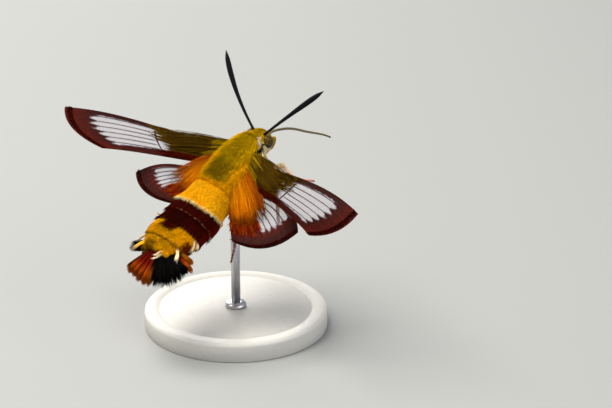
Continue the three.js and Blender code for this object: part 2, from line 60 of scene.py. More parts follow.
# Coat outline of the trunk: [y, half width, half height, centre height]
TRUNK = [
    [5.0, 2.15, 2.9, 0.95],
    [4.1, 2.85, 3.35, 0.8],
    [2.8, 3.5, 3.85, 0.6],
    [0.4, 4.45, 4.25, 0.1],
    [-2.2, 4.3, 4.2, 0.1],
    [-4.6, 4.0, 3.85, 0.15],
    [-7.4, 3.85, 3.5, 0.15],
    [-9.4, 4.3, 3.7, -0.15],
    [-13.0, 4.15, 3.4, -0.05],
    [-15.4, 3.95, 3.1, 0.15],
    [-17.9, 2.85, 2.1, -0.1],
    [-18.5, 2.1, 1.4, -0.3],
    [-19.0, 0.9, 0.6, -0.45],
]
# How deep the skin lies under the tips of the coat: [y, depth]
COAT_DEPTH = [
    [8.0, 0.15],
    [6.2, 0.2],
    [4.6, 0.36],
    [0.5, 0.48],
    [-4.6, 0.4],
    [-6.5, 0.26],
    [-13.35, 0.2],
    [-17.9, 0.2],
]
WAIST_Y = -4.6
BAND_FRONT_Y = -9.0
BAND_SEAM_Y = -11.35
BAND_REAR_Y = -13.35
REAR_SEAM_Y = -16.1
TAIL_ROOT_Y = -17.9
TIP_Y = -18.9
TAIL_SWING = 0.8
SEGMENTS = [WAIST_Y, BAND_FRONT_Y, BAND_SEAM_Y, BAND_REAR_Y, REAR_SEAM_Y, TAIL_ROOT_Y]
SEGMENT_FLARE = 0.26
# How much further forward each ring of the abdomen runs at the belly than on the back: [y, millimetres]
RING_ARCH = [
    [-4.6, 0.5],
    [-9.0, 0.92],
    [-11.35, 0.2],
    [-13.35, 0.2],
    [-17.9, 0.1],
]

HEAD_CENTRE = np.array([0, 6.0, 0.7])
HEAD_HALF = np.array([2.2, 2.0, 2.2])
EYE_CENTRE = np.array([1.55, 6.4, 1.15])
EYE_HALF = np.array([0.8, 1.0, 1.2])
PALP = {"path": [[0.95, 7.0, -1.3], [1.0, 8.1, -1.2], [0.85, 8.4, -0.4]], "radius": 0.42}
PROBOSCIS = [
    [0, 7.2, 0.4],
    [0, 9.35, -0.3],
    [0, 12.7, -3.2],
    [0, 15.9, -7.3],
    [0, 18.9, -11.1],
    [0, 20.3, -13.2],
]
PROBOSCIS_RADIUS = (0.23, 0.14)
ANTENNA = {
    "right": [[1.15, 6.6, 2.5], [6.1, 8.9, 8.0], [9.8, 12.4, 11.1]],
    "left": [[-1.15, 6.6, 2.5], [-6.1, 8.9, 6.5], [-9.0, 12.4, 10.3]],
}
ANTENNA_RADIUS = [[0, 0.22], [0.15, 0.2], [0.45, 0.29], [0.75, 0.42], [0.9, 0.34], [1, 0.05]]
LEGS = {
    "fore": [[1.5, 3.3, -2.6], [2.9, 6.75, -4.1], [4.55, 6.95, -6.5], [6.2, 9.2, -8.5]],
    "mid": [[2.0, 1.0, -3.0], [5.2, 2.2, -4.6], [6.0, 0.5, -7.4], [7.2, -1.2, -10.0]],
    "hind": [[1.8, -2.2, -3.0], [4.4, -3.4, -4.6], [3.6, -6.6, -6.8], [4.2, -9.4, -9.0]],
}
LEG_RADII = (0.46, 0.32, 0.26, 0.16)

# Wings: x along the span, y towards the leading edge, z up, each in a frame of its own
FOREWING = {
    "root": (3.6, 1.0, 1.4),
    "root_front": (-1.2, 1.3),
    "root_rear": (-1.2, -2.1),
    "apex": (24.2, -2.0),
    "margin": (22.9, -6.3),
    "tornus": (16.2, -7.0),
    "bulge": (1.0, 0.4),
    "camber": 0.6,
    "cell": (0.17, 0.8, 0.46),
    "veins": (0, 0.13, 0.26, 0.39, 0.52, 0.65, 0.78, 0.89, 1),
}
HINDWING = {
    "root": (3.3, -2.1, -0.7),
    "root_front": (-1.2, 1.1),
    "root_rear": (-1.2, -2.2),
    "apex": (11.3, -1.0),
    "margin": (10.2, -7.1),
    "tornus": (3.5, -7.4),
    "bulge": (1.9, -0.2),
    "camber": 0.35,
    "cell": (0.17, 0.44, 0.36),
    "veins": (0, 0.08, 0.17, 0.26, 0.35, 0.44, 0.54, 0.66, 0.8, 1),
}
# Each wing: [shape, side, sweep back, rise of the tip, lift of the leading edge, bend of the tip]
WINGS = {
    "forewing_right": (FOREWING, 1, 5, 22, 24, -1.3),
    "forewing_left": (FOREWING, -1, 18, 15.5, -2, 1.3),
    "hindwing_right": (HINDWING, 1, 4, -1.5, 9, -0.4),
    "hindwing_left": (HINDWING, -1, 31, 9, -10, 0.4),
}
MEMBRANE_HALF = 0.03
VEIN_RISE = 0.04
VEIN_HALF_WIDTH = 0.13

FAN_APEX = np.array([-TAIL_SWING, -16.1, -0.1])
# How far the fan's locks reach from there: [degrees from the left to the right, millimetres]
FAN_REACH = [
    [-68, 5.5],
    [-48, 5.8],
    [-21, 7.0],
    [22, 8.1],
    [45, 8.4],
    [80, 6.6],
]

BASE_RADIUS = 14
BASE_THICKNESS = 3
BASE_CHAMFER = 0.6
ROD_RADIUS = 0.7


# Short tufts: lengths in each, how far they bend over, how far they lean aside and how light their tips are
TUFT_RINGS = 2
TUFT_DROOP = 0.7
TUFT_SWAY = 0.12
TUFT_TIP_LIGHT = 1.2

SKIN_ROWS = 260
SKIN_SIDES = 96
WING_ROWS = 110


# Colours

def srgb(r, g, b):
    c = np.array([r, g, b]) / 255
    return np.where(c <= 0.04045, c / 12.92, ((c + 0.055) / 1.055) ** 2.4)


OLIVE = srgb(166, 132, 2)
OLIVE_DARK = srgb(88, 64, 4)
OLIVE_BRIGHT = srgb(212, 164, 2)
BROWN = srgb(56, 34, 6)
GOLD = srgb(248, 166, 2)
# pale gold: the own colour of some tufts by the tail, and on the front of the abdomen partly a painted
# highlight
PALE_GOLD_AND_HIGHLIGHT = srgb(255, 188, 26)
ORANGE = srgb(220, 104, 2)
BURGUNDY = srgb(60, 7, 2)
BURGUNDY_RED = srgb(106, 16, 4)
REAR_GOLD = srgb(214, 150, 2)
RUST = srgb(160, 62, 8)
CREAM = srgb(246, 222, 168)
WHITE = srgb(252, 246, 230)
BLACK = srgb(12, 10, 9)
VEIN = srgb(52, 12, 8)
CLEAR = srgb(150, 142, 152)
WING_BORDER = srgb(38, 9, 4)
WING_RED = srgb(76, 14, 5)


def step(low, high, x):
    k = np.clip((x - low) / (high - low), 0, 1)
    return k * k * (3 - 2 * k)


def cloud(u, v, seed, around=256):
    """Smooth noise from -1 to 1, that repeats after so many steps of u."""
    grid = np.random.default_rng(seed).uniform(-1, 1, (256, 256))
    i, j = np.floor(u).astype(int), np.floor(v).astype(int)
    p, q = step(0, 1, u - i), step(0, 1, v - j)
    near, far = i % around, (i + 1) % around
    here, there = j % 256, (j + 1) % 256
    first = grid[near, here] + (grid[far, here] - grid[near, here]) * p
    second = grid[near, there] + (grid[far, there] - grid[near, there]) * p
    return first + (second - first) * q


def mixed(a, b, k):
    return a + (b - a) * np.asarray(k)[..., None]


# Places on the moth

body_turn = Matrix.Rotation(math.pi, 4, "Z") @ Matrix.Rotation(BODY_PITCH, 4, "X")
body_turn = body_turn @ Matrix.Rotation(BODY_BANK, 4, "Y")
over_rod = body_turn @ Vector((0, ROD_AT_Y, 0))
MOTH = Matrix.Translation((-over_rod.x, -over_rod.y, HOVER_HEIGHT)) @ body_turn


def placed(points, matrix=MOTH):
    m = np.array(matrix)
    return (np.asarray(points, float) @ m[:3, :3].T + m[:3, 3]) * MM


def unit(v):
    return v / np.maximum(np.linalg.norm(v, axis=-1, keepdims=True), 1e-9)


def eased(table, x, column=1):
    """The table's column at x, eased from row to row. The first column rises or falls steadily."""
    rows = np.array(table, float)
    if rows[0, 0] > rows[-1, 0]:
        rows = rows[::-1]
    xs, ys = rows[:, 0], rows[:, column]
    row = np.arange(len(xs))
    before, after = np.maximum(row - 1, 0), np.minimum(row + 1, len(xs) - 1)
    slope = (ys[after] - ys[before]) / (xs[after] - xs[before])
    i = np.clip(np.searchsorted(xs, x) - 1, 0, len(xs) - 2)
    width = xs[i + 1] - xs[i]
    t = np.clip((x - xs[i]) / width, 0, 1)
    return (
        (2 * t**3 - 3 * t**2 + 1) * ys[i]
        + (t**3 - 2 * t**2 + t) * width * slope[i]
        + (3 * t**2 - 2 * t**3) * ys[i + 1]
        + (t**3 - t**2) * width * slope[i + 1]
    )


def ring_y(y, angle):
    """Where a point would lie if the rings of the abdomen stood square to the body."""
    arch = eased(RING_ARCH, y) * (np.sin(np.radians(angle)) - 0.55)
    return y + arch * step(WAIST_Y + 0.6, WAIST_Y - 0.6, y)


def flare_at(y, angle):
    """Each segment of the abdomen widens to its rear edge and steps in again behind it."""
    y = ring_y(y, angle)
    grown = np.zeros_like(y)
    for front, rear in zip(SEGMENTS, SEGMENTS[1:]):
        inside = (y <= front) & (y > rear)
        share = (front - y) / (front - rear)
        grown = np.where(inside, SEGMENT_FLARE * (share - 0.8) * step(-0.01, 0.04, share), grown)
    return grown


def trunk_outline(y):
    """Half width, half height and centre of the coat's outline at y, head included."""
    a, b, z = (eased(TRUNK, y, column) for column in (1, 2, 3))
    round_head = np.sqrt(np.clip(1 - ((y - HEAD_CENTRE[1]) / HEAD_HALF[1]) ** 2, 0, 1))
    k = step(4.9, 5.7, y)
    a = a + (HEAD_HALF[0] * round_head - a) * k
    b = b + (HEAD_HALF[2] * round_head - b) * k
    z = z + (HEAD_CENTRE[2] - z) * k
    along = np.clip((WAIST_Y - y) / (WAIST_Y - TAIL_ROOT_Y), 0, None)
    return a, b, z, -TAIL_SWING * along**2


def skin_point(y, angle, raised=0.0):
    """A point of the skin at y, angle degrees up from the right side."""
    y, angle = np.broadcast_arrays(np.asarray(y, float), np.asarray(angle, float))
    a, b, z, x = trunk_outline(y)
    inset = eased(COAT_DEPTH, y) - flare_at(y, angle) - raised
    turn = np.radians(angle)
    a, b = np.maximum(a - inset, 0.02), np.maximum(b - inset, 0.02)
    return np.stack([x + a * np.cos(turn), y, z + b * np.sin(turn)], -1)


def skin_frame(y, angle):
    """Point, normal and rearward tangent of the skin."""
    p = skin_point(y, angle)
    around = skin_point(y, angle + 1) - skin_point(y, angle - 1)
    back = skin_point(y - 0.15, angle) - skin_point(y + 0.15, angle)
    normal = unit(np.cross(back, around))
    outward = p - np.stack([trunk_outline(y)[3], y, trunk_outline(y)[2]], -1)
    normal = np.where((np.sum(normal * outward, -1) < 0)[..., None], -normal, normal)
    return p, normal, unit(back)


def skin_uv(y, angle):
    """The skin's own unwrap: round the body and along it."""
    across = (angle % 360) / 360
    along = (8.4 - y) / (8.4 - TIP_Y)
    return np.stack([0.02 + 0.94 * across, 0.02 + 0.94 * along], -1)


# How far up the sides the pale throat and breast reach: [y, degrees above level]
PALE_BELOW = [
    [8.0, 20],
    [6.2, 30],
    [5.0, 42],
    [4.0, 38],
    [3.0, 24],
    [2.2, 3],
    [1.1, -24],
    [-1.0, -42],
    [-9.0, -50],
    [-19.4, -60],
]


def near_line(y, up, start, end, half):
    """How close a place is to the line between two places (y, degrees), from 0 to 1."""
    scale = np.array([1, 0.045])
    a, b = np.array(start) * scale, np.array(end) * scale
    p = np.stack([y, up], -1) * scale
    share = np.clip(((p - a) @ (b - a)) / ((b - a) @ (b - a)), 0, 1)
    away = np.linalg.norm(p - a - share[..., None] * (b - a), axis=-1)
    return step(half * 1.25, half * 0.75, away)


def coat_colour(y, angle):
    """The markings, shared by skin and coat."""
    off_back = np.abs((angle - 90 + 180) % 360 - 180)
    up = 90 - off_back
    ring = ring_y(y, angle)
    rough = cloud((angle % 360) / 4, y * 3 + 70, 5, 90)
    streak = cloud((angle % 360) / 3, y * 0.8 + 60, 6, 120)
    soft = up + 6 * rough
    # Thorax
    colour = mixed(OLIVE, OLIVE_BRIGHT, 0.95 * step(84, 44, soft) + 0.2 * streak.clip(0, 1))
    patch = step(44, 14, off_back + 9 * rough) * step(-4.6, -3.0, y) * step(1.2, -1.2, y + 0.5 * rough)
    colour = mixed(colour, OLIVE_DARK, 0.6 * patch)
    flank = step(70, 46, soft) * step(1.2, -1.0, y - 0.02 * up)
    colour = mixed(colour, mixed(GOLD, ORANGE, step(45, 15, soft)), flank * (0.75 + 0.25 * streak).clip(0, 1))
    colour = mixed(colour, GOLD, step(-3.6, -5.0, y + 0.3 * rough) * step(-30, 0, up))
    # Front of the abdomen
    front = step(-4.6, -5.6, y + 0.3 * rough)
    # pale gold streaked over the gold here stands partly for paler hair and partly for painted highlight
    warm = mixed(mixed(GOLD, PALE_GOLD_AND_HIGHLIGHT, (0.35 + 0.4 * streak).clip(0, 1)), ORANGE, step(-5, -40, soft))
    colour = mixed(colour, warm, front)
    colour = mixed(colour, CREAM, 0.9 * step(0.22, 0.08, np.abs(ring - BAND_FRONT_Y - 0.12 + 0.06 * rough)))
    # Band
    band = step(BAND_FRONT_Y + 0.08, BAND_FRONT_Y - 0.08, ring + 0.1 * rough)
    colour = mixed(colour, mixed(BURGUNDY, BURGUNDY_RED, 0.8 * step(30, -10, soft) + 0.15 * streak), band)
    rear_half = step(BAND_SEAM_Y, BAND_SEAM_Y - 0.1, ring) * step(60, 20, off_back)
    colour = colour * (1 - 0.35 * rear_half * band)[..., None]
    # Rear
    rear = step(BAND_REAR_Y + 0.06, BAND_REAR_Y - 0.06, ring + 0.1 * rough)
    gold = mixed(REAR_GOLD, GOLD, step(30, 55, off_back + 10 * rough))
    gold = mixed(gold, BURGUNDY, step(30, 16, off_back + 9 * rough) * step(-15.1, -14.5, ring + 0.3 * rough))
    low_side = step(34, 22, soft) * step(-16.2, -15.7, ring) * step(-14.2, -14.6, ring)
    gold = mixed(gold, BURGUNDY_RED, 0.95 * low_side)
    dusky = step(0.4, 0.1, np.abs(ring - REAR_SEAM_Y)) * step(60, 50, up) * step(15, 25, up)
    gold = mixed(gold, OLIVE_DARK, 0.7 * dusky)
    gold = mixed(gold, BURGUNDY, step(0.13, 0.06, np.abs(ring - REAR_SEAM_Y)) * step(34, 28, off_back))
    left_cap = step(84, 94, angle % 360) * step(146, 132, angle % 360) * step(-16.7, -17.3, y + 0.2 * rough)
    gold = mixed(gold, OLIVE_DARK, 0.7 * left_cap)
    gold = mixed(gold, OLIVE_DARK, 0.8 * step(-17.9, -18.5, y + 0.2 * rough))
    gold = mixed(gold, BURGUNDY, step(-18, -40, soft))
    colour = mixed(colour, gold, rear)
    # Pale throat and breast, white behind the eye, black below that
    limit = eased(PALE_BELOW, y)
    colour = mixed(colour, CREAM, step(limit + 4, limit - 4, soft) * step(WAIST_Y - 1, WAIST_Y + 0.5, y))
    colour = mixed(colour, BLACK, near_line(y, up, (5.4, 22), (3.4, 37), 0.22))
    colour = mixed(colour, WHITE, near_line(y, up, (5.9, 62), (4.8, 44), 0.17))
    face = step(6.2, 6.6, y) * step(55, 40, up)
    return mixed(colour, mixed(OLIVE, CREAM, step(-10, -40, up)), face)


# Meshes

def new_mesh(name, points, faces, tint=None, uv=None, alpha=None, matrix=MOTH):
    """A mesh of faces, given as one array of vertex numbers for each count of corners."""
    mesh = bpy.data.meshes.new(name)
    points = placed(points, matrix)
    loops = np.concatenate([f.ravel() for f in faces]).astype(np.int32)
    totals = np.concatenate([np.full(len(f), f.shape[1]) for f in faces]).astype(np.int32)
    starts = np.concatenate([[0], np.cumsum(totals)[:-1]]).astype(np.int32)
    mesh.vertices.add(len(points))
    mesh.vertices.foreach_set("co", points.astype(np.float32).ravel())
    mesh.loops.add(len(loops))
    mesh.loops.foreach_set("vertex_index", loops)
    mesh.polygons.add(len(totals))
    mesh.polygons.foreach_set("loop_start", starts)
    mesh.polygons.foreach_set("loop_total", totals)
    mesh.polygons.foreach_set("use_smooth", np.full(len(totals), True))
    mesh.update(calc_edges=True)
    if tint is not None:
        layer = mesh.color_attributes.new(name="tint", type="FLOAT_COLOR", domain="POINT")
        rgba = np.ones((len(points), 4), np.float32)
        rgba[:, :3] = np.clip(tint, 0, 1)
        layer.data.foreach_set("color", rgba.ravel())
    if alpha is not None:
        layer = mesh.attributes.new(name="solid", type="FLOAT", domain="POINT")
        layer.data.foreach_set("value", np.asarray(alpha, np.float32))
    if uv is not None:
        layer = mesh.uv_layers.new(name="OFBake")
        layer.data.foreach_set("uv", uv[loops].astype(np.float32).ravel())
    mesh.validate()
    made = bpy.data.objects.new(name, mesh)
    bpy.context.scene.collection.objects.link(made)
    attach(made, "root")
    return made


def tube_faces(rows, sides):
    """Quads between rings, and a fan over each end from two more points after the rings."""
    i, j = np.meshgrid(np.arange(rows - 1), np.arange(sides), indexing="ij")
    a, b = i * sides + j, i * sides + (j + 1) % sides
    quads = np.stack([a, b, b + sides, a + sides], -1).reshape(-1, 4)
    j = np.arange(sides)
    start = np.stack([(j + 1) % sides, j, np.full(sides, rows * sides)], -1)
    last = (rows - 1) * sides
    end = np.stack([last + j, last + (j + 1) % sides, np.full(sides, rows * sides + 1)], -1)
    return quads, np.concatenate([start, end])


def tube(path, radius, sides):
    """Points of a tube round a path, with radius at each of its points, and its faces, turned outward."""
    path = np.asarray(path, float)
    along = unit(np.gradient(path, axis=0))
    side = np.zeros_like(along)
    start = np.array([0.31, 0.17, 0.94])
    for i, direction in enumerate(along):
        start = start - direction * (start @ direction)
        start = start / np.linalg.norm(start)
        side[i] = start
    up = np.cross(along, side)
    turn = np.linspace(0, 2 * np.pi, sides, endpoint=False)
    ring = side[:, None] * np.cos(turn)[None, :, None] + up[:, None] * np.sin(turn)[None, :, None]
    points = path[:, None] + ring * np.asarray(radius)[:, None, None]
    points = np.concatenate([points.reshape(-1, 3), path[:1], path[-1:]])
    return points, tube_faces(len(path), sides)


def joined(parts):
    """Points and faces of several tubes as one set."""
    points, quads, tris, count = [], [], [], 0
    for p, (q, t) in parts:
        points.append(p)
        quads.append(q + count)
        tris.append(t + count)
        count += len(p)
    return np.concatenate(points), [np.concatenate(quads), np.concatenate(tris)]


def bezier(points, t):
    a, b, c = (np.asarray(p, float) for p in points)
    t = np.asarray(t)[:, None]
    return (1 - t) ** 2 * a + 2 * t * (1 - t) * b + t**2 * c


def spline(points, count):
    """A smooth path through the points."""
    p = np.asarray(points, float)
    p = np.concatenate([[2 * p[0] - p[1]], p, [2 * p[-1] - p[-2]]])
    out = []
    for u in np.linspace(0, len(points) - 1 - 1e-6, count):
        i, t = int(u), u - int(u)
        a, b, c, d = p[i], p[i + 1], p[i + 2], p[i + 3]
        square, cube = 2 * a - 5 * b + 4 * c - d, 3 * b - a - 3 * c + d
        out.append(0.5 * (2 * b + (c - a) * t + square * t**2 + cube * t**3))
    return np.array(out)


def blades(name, path, width, shade, uv, up, taper=0.55):
    """Closed three-sided blades along paths, with a colour at each point of every path."""
    n, rings = path.shape[0], path.shape[1] - 1
    along = unit(np.gradient(path, axis=1))
    side = unit(np.cross(along, np.broadcast_to(up[:, None], path.shape)))
    ridge = np.cross(side, along)
    share = np.arange(rings) / rings
    w = (width[:, None] * np.where(share == 0, 0.8, 1 - taper * share))[..., None]
    at, half, tall = path[:, :-1], side[:, :-1] * w / 2, ridge[:, :-1] * w * 0.35
    corners = np.stack([at - half, at + half, at + tall], 2).reshape(n, -1, 3)
    points = np.concatenate([corners, path[:, -1:]], 1)
    tints = np.concatenate([np.repeat(shade[:, :-1], 3, 1), shade[:, -1:]], 1)
    places = [[x, 0.3 * z + 0.7 * k] for k in share for x, z in ((0, 0), (1, 0), (0.5, 0.2))]
    uvs = uv[:, None] + 0.003 * np.array([*places, [0.5, 1]])[None]
    per = points.shape[1]
    tip = per - 1
    quads = []
    for a in range(0, 3 * (rings - 1), 3):
        quads += [[a, a + 3, a + 4, a + 1], [a + 1, a + 4, a + 5, a + 2], [a + 2, a + 5, a + 3, a]]
    a = 3 * (rings - 1)
    tris = [[0, 1, 2], [a, tip, a + 1], [a + 1, tip, a + 2], [a + 2, tip, a]]
    base = (np.arange(n) * per)[:, None, None]
    faces = [(base + np.array(q)[None]).reshape(-1, len(q[0])) for q in (quads, tris) if q]
    return new_mesh(name, points.reshape(-1, 3), faces, tints.reshape(-1, 3), uvs.reshape(-1, 2))


def graded(tint, tip, rings, dark=0.5):
    """Colours from a root darkened with painted shade over the tint to the tip's colour."""
    rows = []
    for share in np.linspace(0, 1, rings + 1):
        # painted shade: each hair is dark times its tint at the root and reaches the full tint halfway along
        colour = mixed(tint * dark, tint, min(1, 2 * share))
        rows.append(mixed(colour, tip, max(0, 2 * share - 1)))
    return np.stack(rows, 1)


def hairs(name, root, normal, lie, length, width, lift, tint, tip, uv):
    """Tufts that rise from their roots and bend over along the lie."""
    side = unit(np.cross(lie, normal))
    forward = unit(lie)
    up = np.cross(side, forward)
    lean = rng.normal(0, TUFT_SWAY, len(root))
    path = [root - up * 0.05]
    for k in range(TUFT_RINGS):
        share = k / TUFT_RINGS
        rise = lift * (1 - TUFT_DROOP * share)
        aside = lean * (0.4 + share)
        direction = unit(forward * np.cos(rise)[:, None] + up * np.sin(rise)[:, None] + side * aside[:, None])
        path.append(path[-1] + direction * (length / TUFT_RINGS)[:, None])
    return blades(name, np.stack(path, 1), width, graded(tint, tip, TUFT_RINGS), uv, up)


def combed(name, root, middle, end, width, tint, tip, uv, up, rings=4, taper=0.55, dark=0.5):
    """Long hair that curves from its root past a middle point to its end."""
    t = np.linspace(0, 1, rings + 1)[None, :, None]
    path = (1 - t) ** 2 * root[:, None] + 2 * t * (1 - t) * middle[:, None] + t**2 * end[:, None]
    return blades(name, path, width, graded(tint, tip, rings, dark), uv, up, taper)


def round_limb(along, turn, aside):
    """Directions straight out from a limb, turned round it from a side."""
    across = unit(np.cross(along, aside))
    return across * np.cos(turn)[:, None] + np.cross(along, across) * np.sin(turn)[:, None]


# Materials

def material(name, base=None, roughness=0.6, bump=(0.1, 900.0), specular=0.35, metallic=0.0, variation=0.25,
             coat=0.0, alpha_from=None, stretch=(1, 1, 1)):
    """A surface whose colour, roughness and relief all vary with noise in the object's own space."""
    m = bpy.data.materials.new(name)
    m.use_nodes = True
    nodes, links = m.node_tree.nodes, m.node_tree.links
    shader = nodes["Principled BSDF"]
    place = nodes.new("ShaderNodeTexCoord")
    scaled = nodes.new("ShaderNodeMapping")
    scaled.inputs["Scale"].default_value = stretch
    links.new(place.outputs["Object"], scaled.inputs["Vector"])

    def noise(scale, detail):
        made = nodes.new("ShaderNodeTexNoise")
        made.inputs["Scale"].default_value = scale
        made.inputs["Detail"].default_value = detail
        links.new(scaled.outputs["Vector"], made.inputs["Vector"])
        return made.outputs["Fac"]

    def spread(value, low, high):
        made = nodes.new("ShaderNodeMapRange")
        made.inputs["From Min"].default_value = 0.3
        made.inputs["From Max"].default_value = 0.7
        made.inputs["To Min"].default_value = low
        made.inputs["To Max"].default_value = high
        links.new(value, made.inputs["Value"])
        return made.outputs["Result"]

    shade = nodes.new("ShaderNodeHueSaturation")
    if base is None:
        tint = nodes.new("ShaderNodeAttribute")
        tint.attribute_name = "tint"
        links.new(tint.outputs["Color"], shade.inputs["Color"])
    else:
        shade.inputs["Color"].default_value = (*base, 1)
    links.new(spread(noise(bump[1] * 0.35, 4), 1 - variation, 1 + variation), shade.inputs["Value"])
    links.new(shade.outputs["Color"], shader.inputs["Base Color"])
    links.new(spread(noise(bump[1] * 0.6, 3), roughness - 0.08, roughness + 0.08), shader.inputs["Roughness"])
    relief = nodes.new("ShaderNodeBump")
    relief.inputs["Strength"].default_value = bump[0]
    relief.inputs["Distance"].default_value = 0.0001
    links.new(noise(bump[1], 5), relief.inputs["Height"])
    links.new(relief.outputs["Normal"], shader.inputs["Normal"])
    shader.inputs["Metallic"].default_value = metallic
    shader.inputs["Specular IOR Level"].default_value = specular
    shader.inputs["Coat Weight"].default_value = coat
    if alpha_from:
        solid = nodes.new("ShaderNodeAttribute")
        solid.attribute_name = alpha_from
        links.new(solid.outputs["Fac"], shader.inputs["Alpha"])
    return m


FUR = material("fur", roughness=0.8, bump=(0.2, 9000), specular=0.02, variation=0.14)
SKIN = material("skin", roughness=0.85, bump=(0.6, 6000), specular=0.05, variation=0.3)
WING = material("wing", roughness=0.6, bump=(0.2, 5000), specular=0.06, variation=0.2, alpha_from="solid")
ANTENNA_BLACK = material("antenna_black", srgb(12, 13, 18), 0.55, (0.35, 9000), specular=0.08, variation=0.3)
TONGUE = material("tongue", srgb(98, 88, 58), 0.5, (0.3, 4000), specular=0.25, variation=0.25)
LEG = material("leg", roughness=0.6, bump=(0.4, 8000), specular=0.2, variation=0.2)
EYE = material("eye", roughness=0.34, bump=(0.12, 14000), specular=0.16, variation=0.25, coat=0.1)
PAINT = material("stand_paint", srgb(196, 194, 188), 0.5, (0.1, 3500), specular=0.3, variation=0.03)
STEEL = material("stand_steel", srgb(190, 190, 194), 0.3, (0.2, 2600), metallic=1.0, variation=0.1,
                 stretch=(1, 1, 0.04))


def finished(made, material_made, slot, *nodes):
    made.data.materials.append(material_made)
    if nodes:
        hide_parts(*nodes)
    return made


# Skin of head, thorax and abdomen

def make_skin():
    rows, sides = SKIN_ROWS, SKIN_SIDES
    y = np.linspace(HEAD_CENTRE[1] + HEAD_HALF[1] - 0.32, TIP_Y, rows)
    angle = np.arange(sides) * 360 / sides
    yy, aa = np.meshgrid(y, angle, indexing="ij")
    points = skin_point(yy, aa).reshape(-1, 3)
    ends = [points[:sides].mean(0) + [0, 0.12, 0], points[-sides:].mean(0)]
    # painted shade: the skin takes the markings at 0.65 of their brightness, for the shade under the coat
    tint = coat_colour(yy, aa).reshape(-1, 3) * 0.65
    tint = np.concatenate([tint, tint[:1], tint[-1:]])
    faces = [f[:, ::-1] for f in tube_faces(rows, sides)]
    made = new_mesh("body_skin", np.concatenate([points, ends]), faces, tint)
    nodes = ["head", "thorax", "abdomen_front", "abdomen_band", "abdomen_rear"]
    return finished(made, SKIN, "thorax_coat", *nodes)


def in_eye(p, grow=0.0):
    side = np.sign(p[:, :1])
    d = (p - EYE_CENTRE * np.concatenate([side, np.ones((len(p), 2))], 1)) / (EYE_HALF + grow)
    return np.sum(d**2, 1) < 1


def make_coat(name, slot, front, rear, count, length, width, lift):
    """Tufts over the trunk from front to rear, evenly for its area, lying rearward."""
    ring = rng.uniform(rear, front, count * 3)
    a, b, _, _ = trunk_outline(ring)
    ring = ring[rng.uniform(0, 4.6, len(ring)) < (a + b) / 2][:count]
    angle = rng.uniform(-180, 180, len(ring))
    y = 2 * ring - ring_y(ring, angle)
    keep = ~in_eye(skin_point(y, angle), 0.12)
    y, angle = y[keep], angle[keep]
    p, normal, back = skin_frame(y, angle)
    n = len(y)
    clump = cloud((angle % 360) / 4, y * 0.9 + 80, 9, 90)
    fine = cloud((angle % 360) / 1.5, y * 1.6 + 90, 10, 240)
    lie = back + np.cross(normal, back) * (rng.normal(0, 0.14, n) + 0.16 * fine)[:, None]
    tint = coat_colour(y + rng.normal(0, 0.05, n), angle + rng.normal(0, 1.5, n))
    tint = tint * (1 + 0.12 * clump + 0.12 * fine + rng.normal(0, 0.08, n)).clip(0.5, 1.5)[:, None]
    lengths = length(y, angle) * rng.uniform(0.8, 1.15, n) * (1 + 0.12 * clump)
    lifts = lift(y, angle) * rng.uniform(0.7, 1.25, n) * (1 + 0.25 * fine)
    widths = width * rng.uniform(0.8, 1.3, n)
    made = hairs(name, p, normal, lie, lengths, widths, lifts, tint, tint * TUFT_TIP_LIGHT, skin_uv(y, angle))
    return finished(made, FUR, slot)


def near_rear_edge(y, angle):
    """How close a place is to the rear edge of its segment, from 0 to 1."""
    ring = ring_y(y, angle)
    near = np.zeros_like(ring)
    for edge in SEGMENTS[1:]:
        near = np.maximum(near, step(0.75, 0.1, ring - edge) * (ring > edge))
    return near


def make_coats():
    """Each coat has a length and a rise of its tufts that change along the body."""
    def head_length(y, angle):
        return 0.4 + 0.55 * step(6.6, 5.2, y)

    def head_lift(y, angle):
        return np.full(len(y), math.radians(28))

    def thorax_length(y, angle):
        return 1.2 + 0.3 * step(4.5, 2.5, y) - 0.35 * step(-2.5, -4.5, y)

    def thorax_lift(y, angle):
        return np.radians(21 + 8 * step(2.5, 5.0, y))

    def short(y, angle):
        return 0.78 + 0.3 * near_rear_edge(y, angle) - 0.15 * step(-16.5, -19, y)

    def flat(y, angle):
        return np.radians(15 + 5 * near_rear_edge(y, angle))

    make_coat("head_coat", "head_coat", 8.25, 4.8, 6500, head_length, 0.085, head_lift)
    for part in range(3):
        name = f"thorax_coat_{part + 1}"
        make_coat(name, "thorax_coat", 5.1, -4.9, 10500, thorax_length, 0.105, thorax_lift)
    make_coat("abdomen_front_coat", "abdomen_gold", WAIST_Y, BAND_FRONT_Y + 0.05, 16000, short, 0.1, flat)
    band_rear = BAND_REAR_Y + 0.05
    make_coat("abdomen_band_coat", "abdomen_burgundy", BAND_FRONT_Y, band_rear, 13000, short, 0.09, flat)
    make_coat("abdomen_rear_coat", "abdomen_gold", BAND_REAR_Y, TIP_Y + 0.1, 14000, short, 0.09, flat)


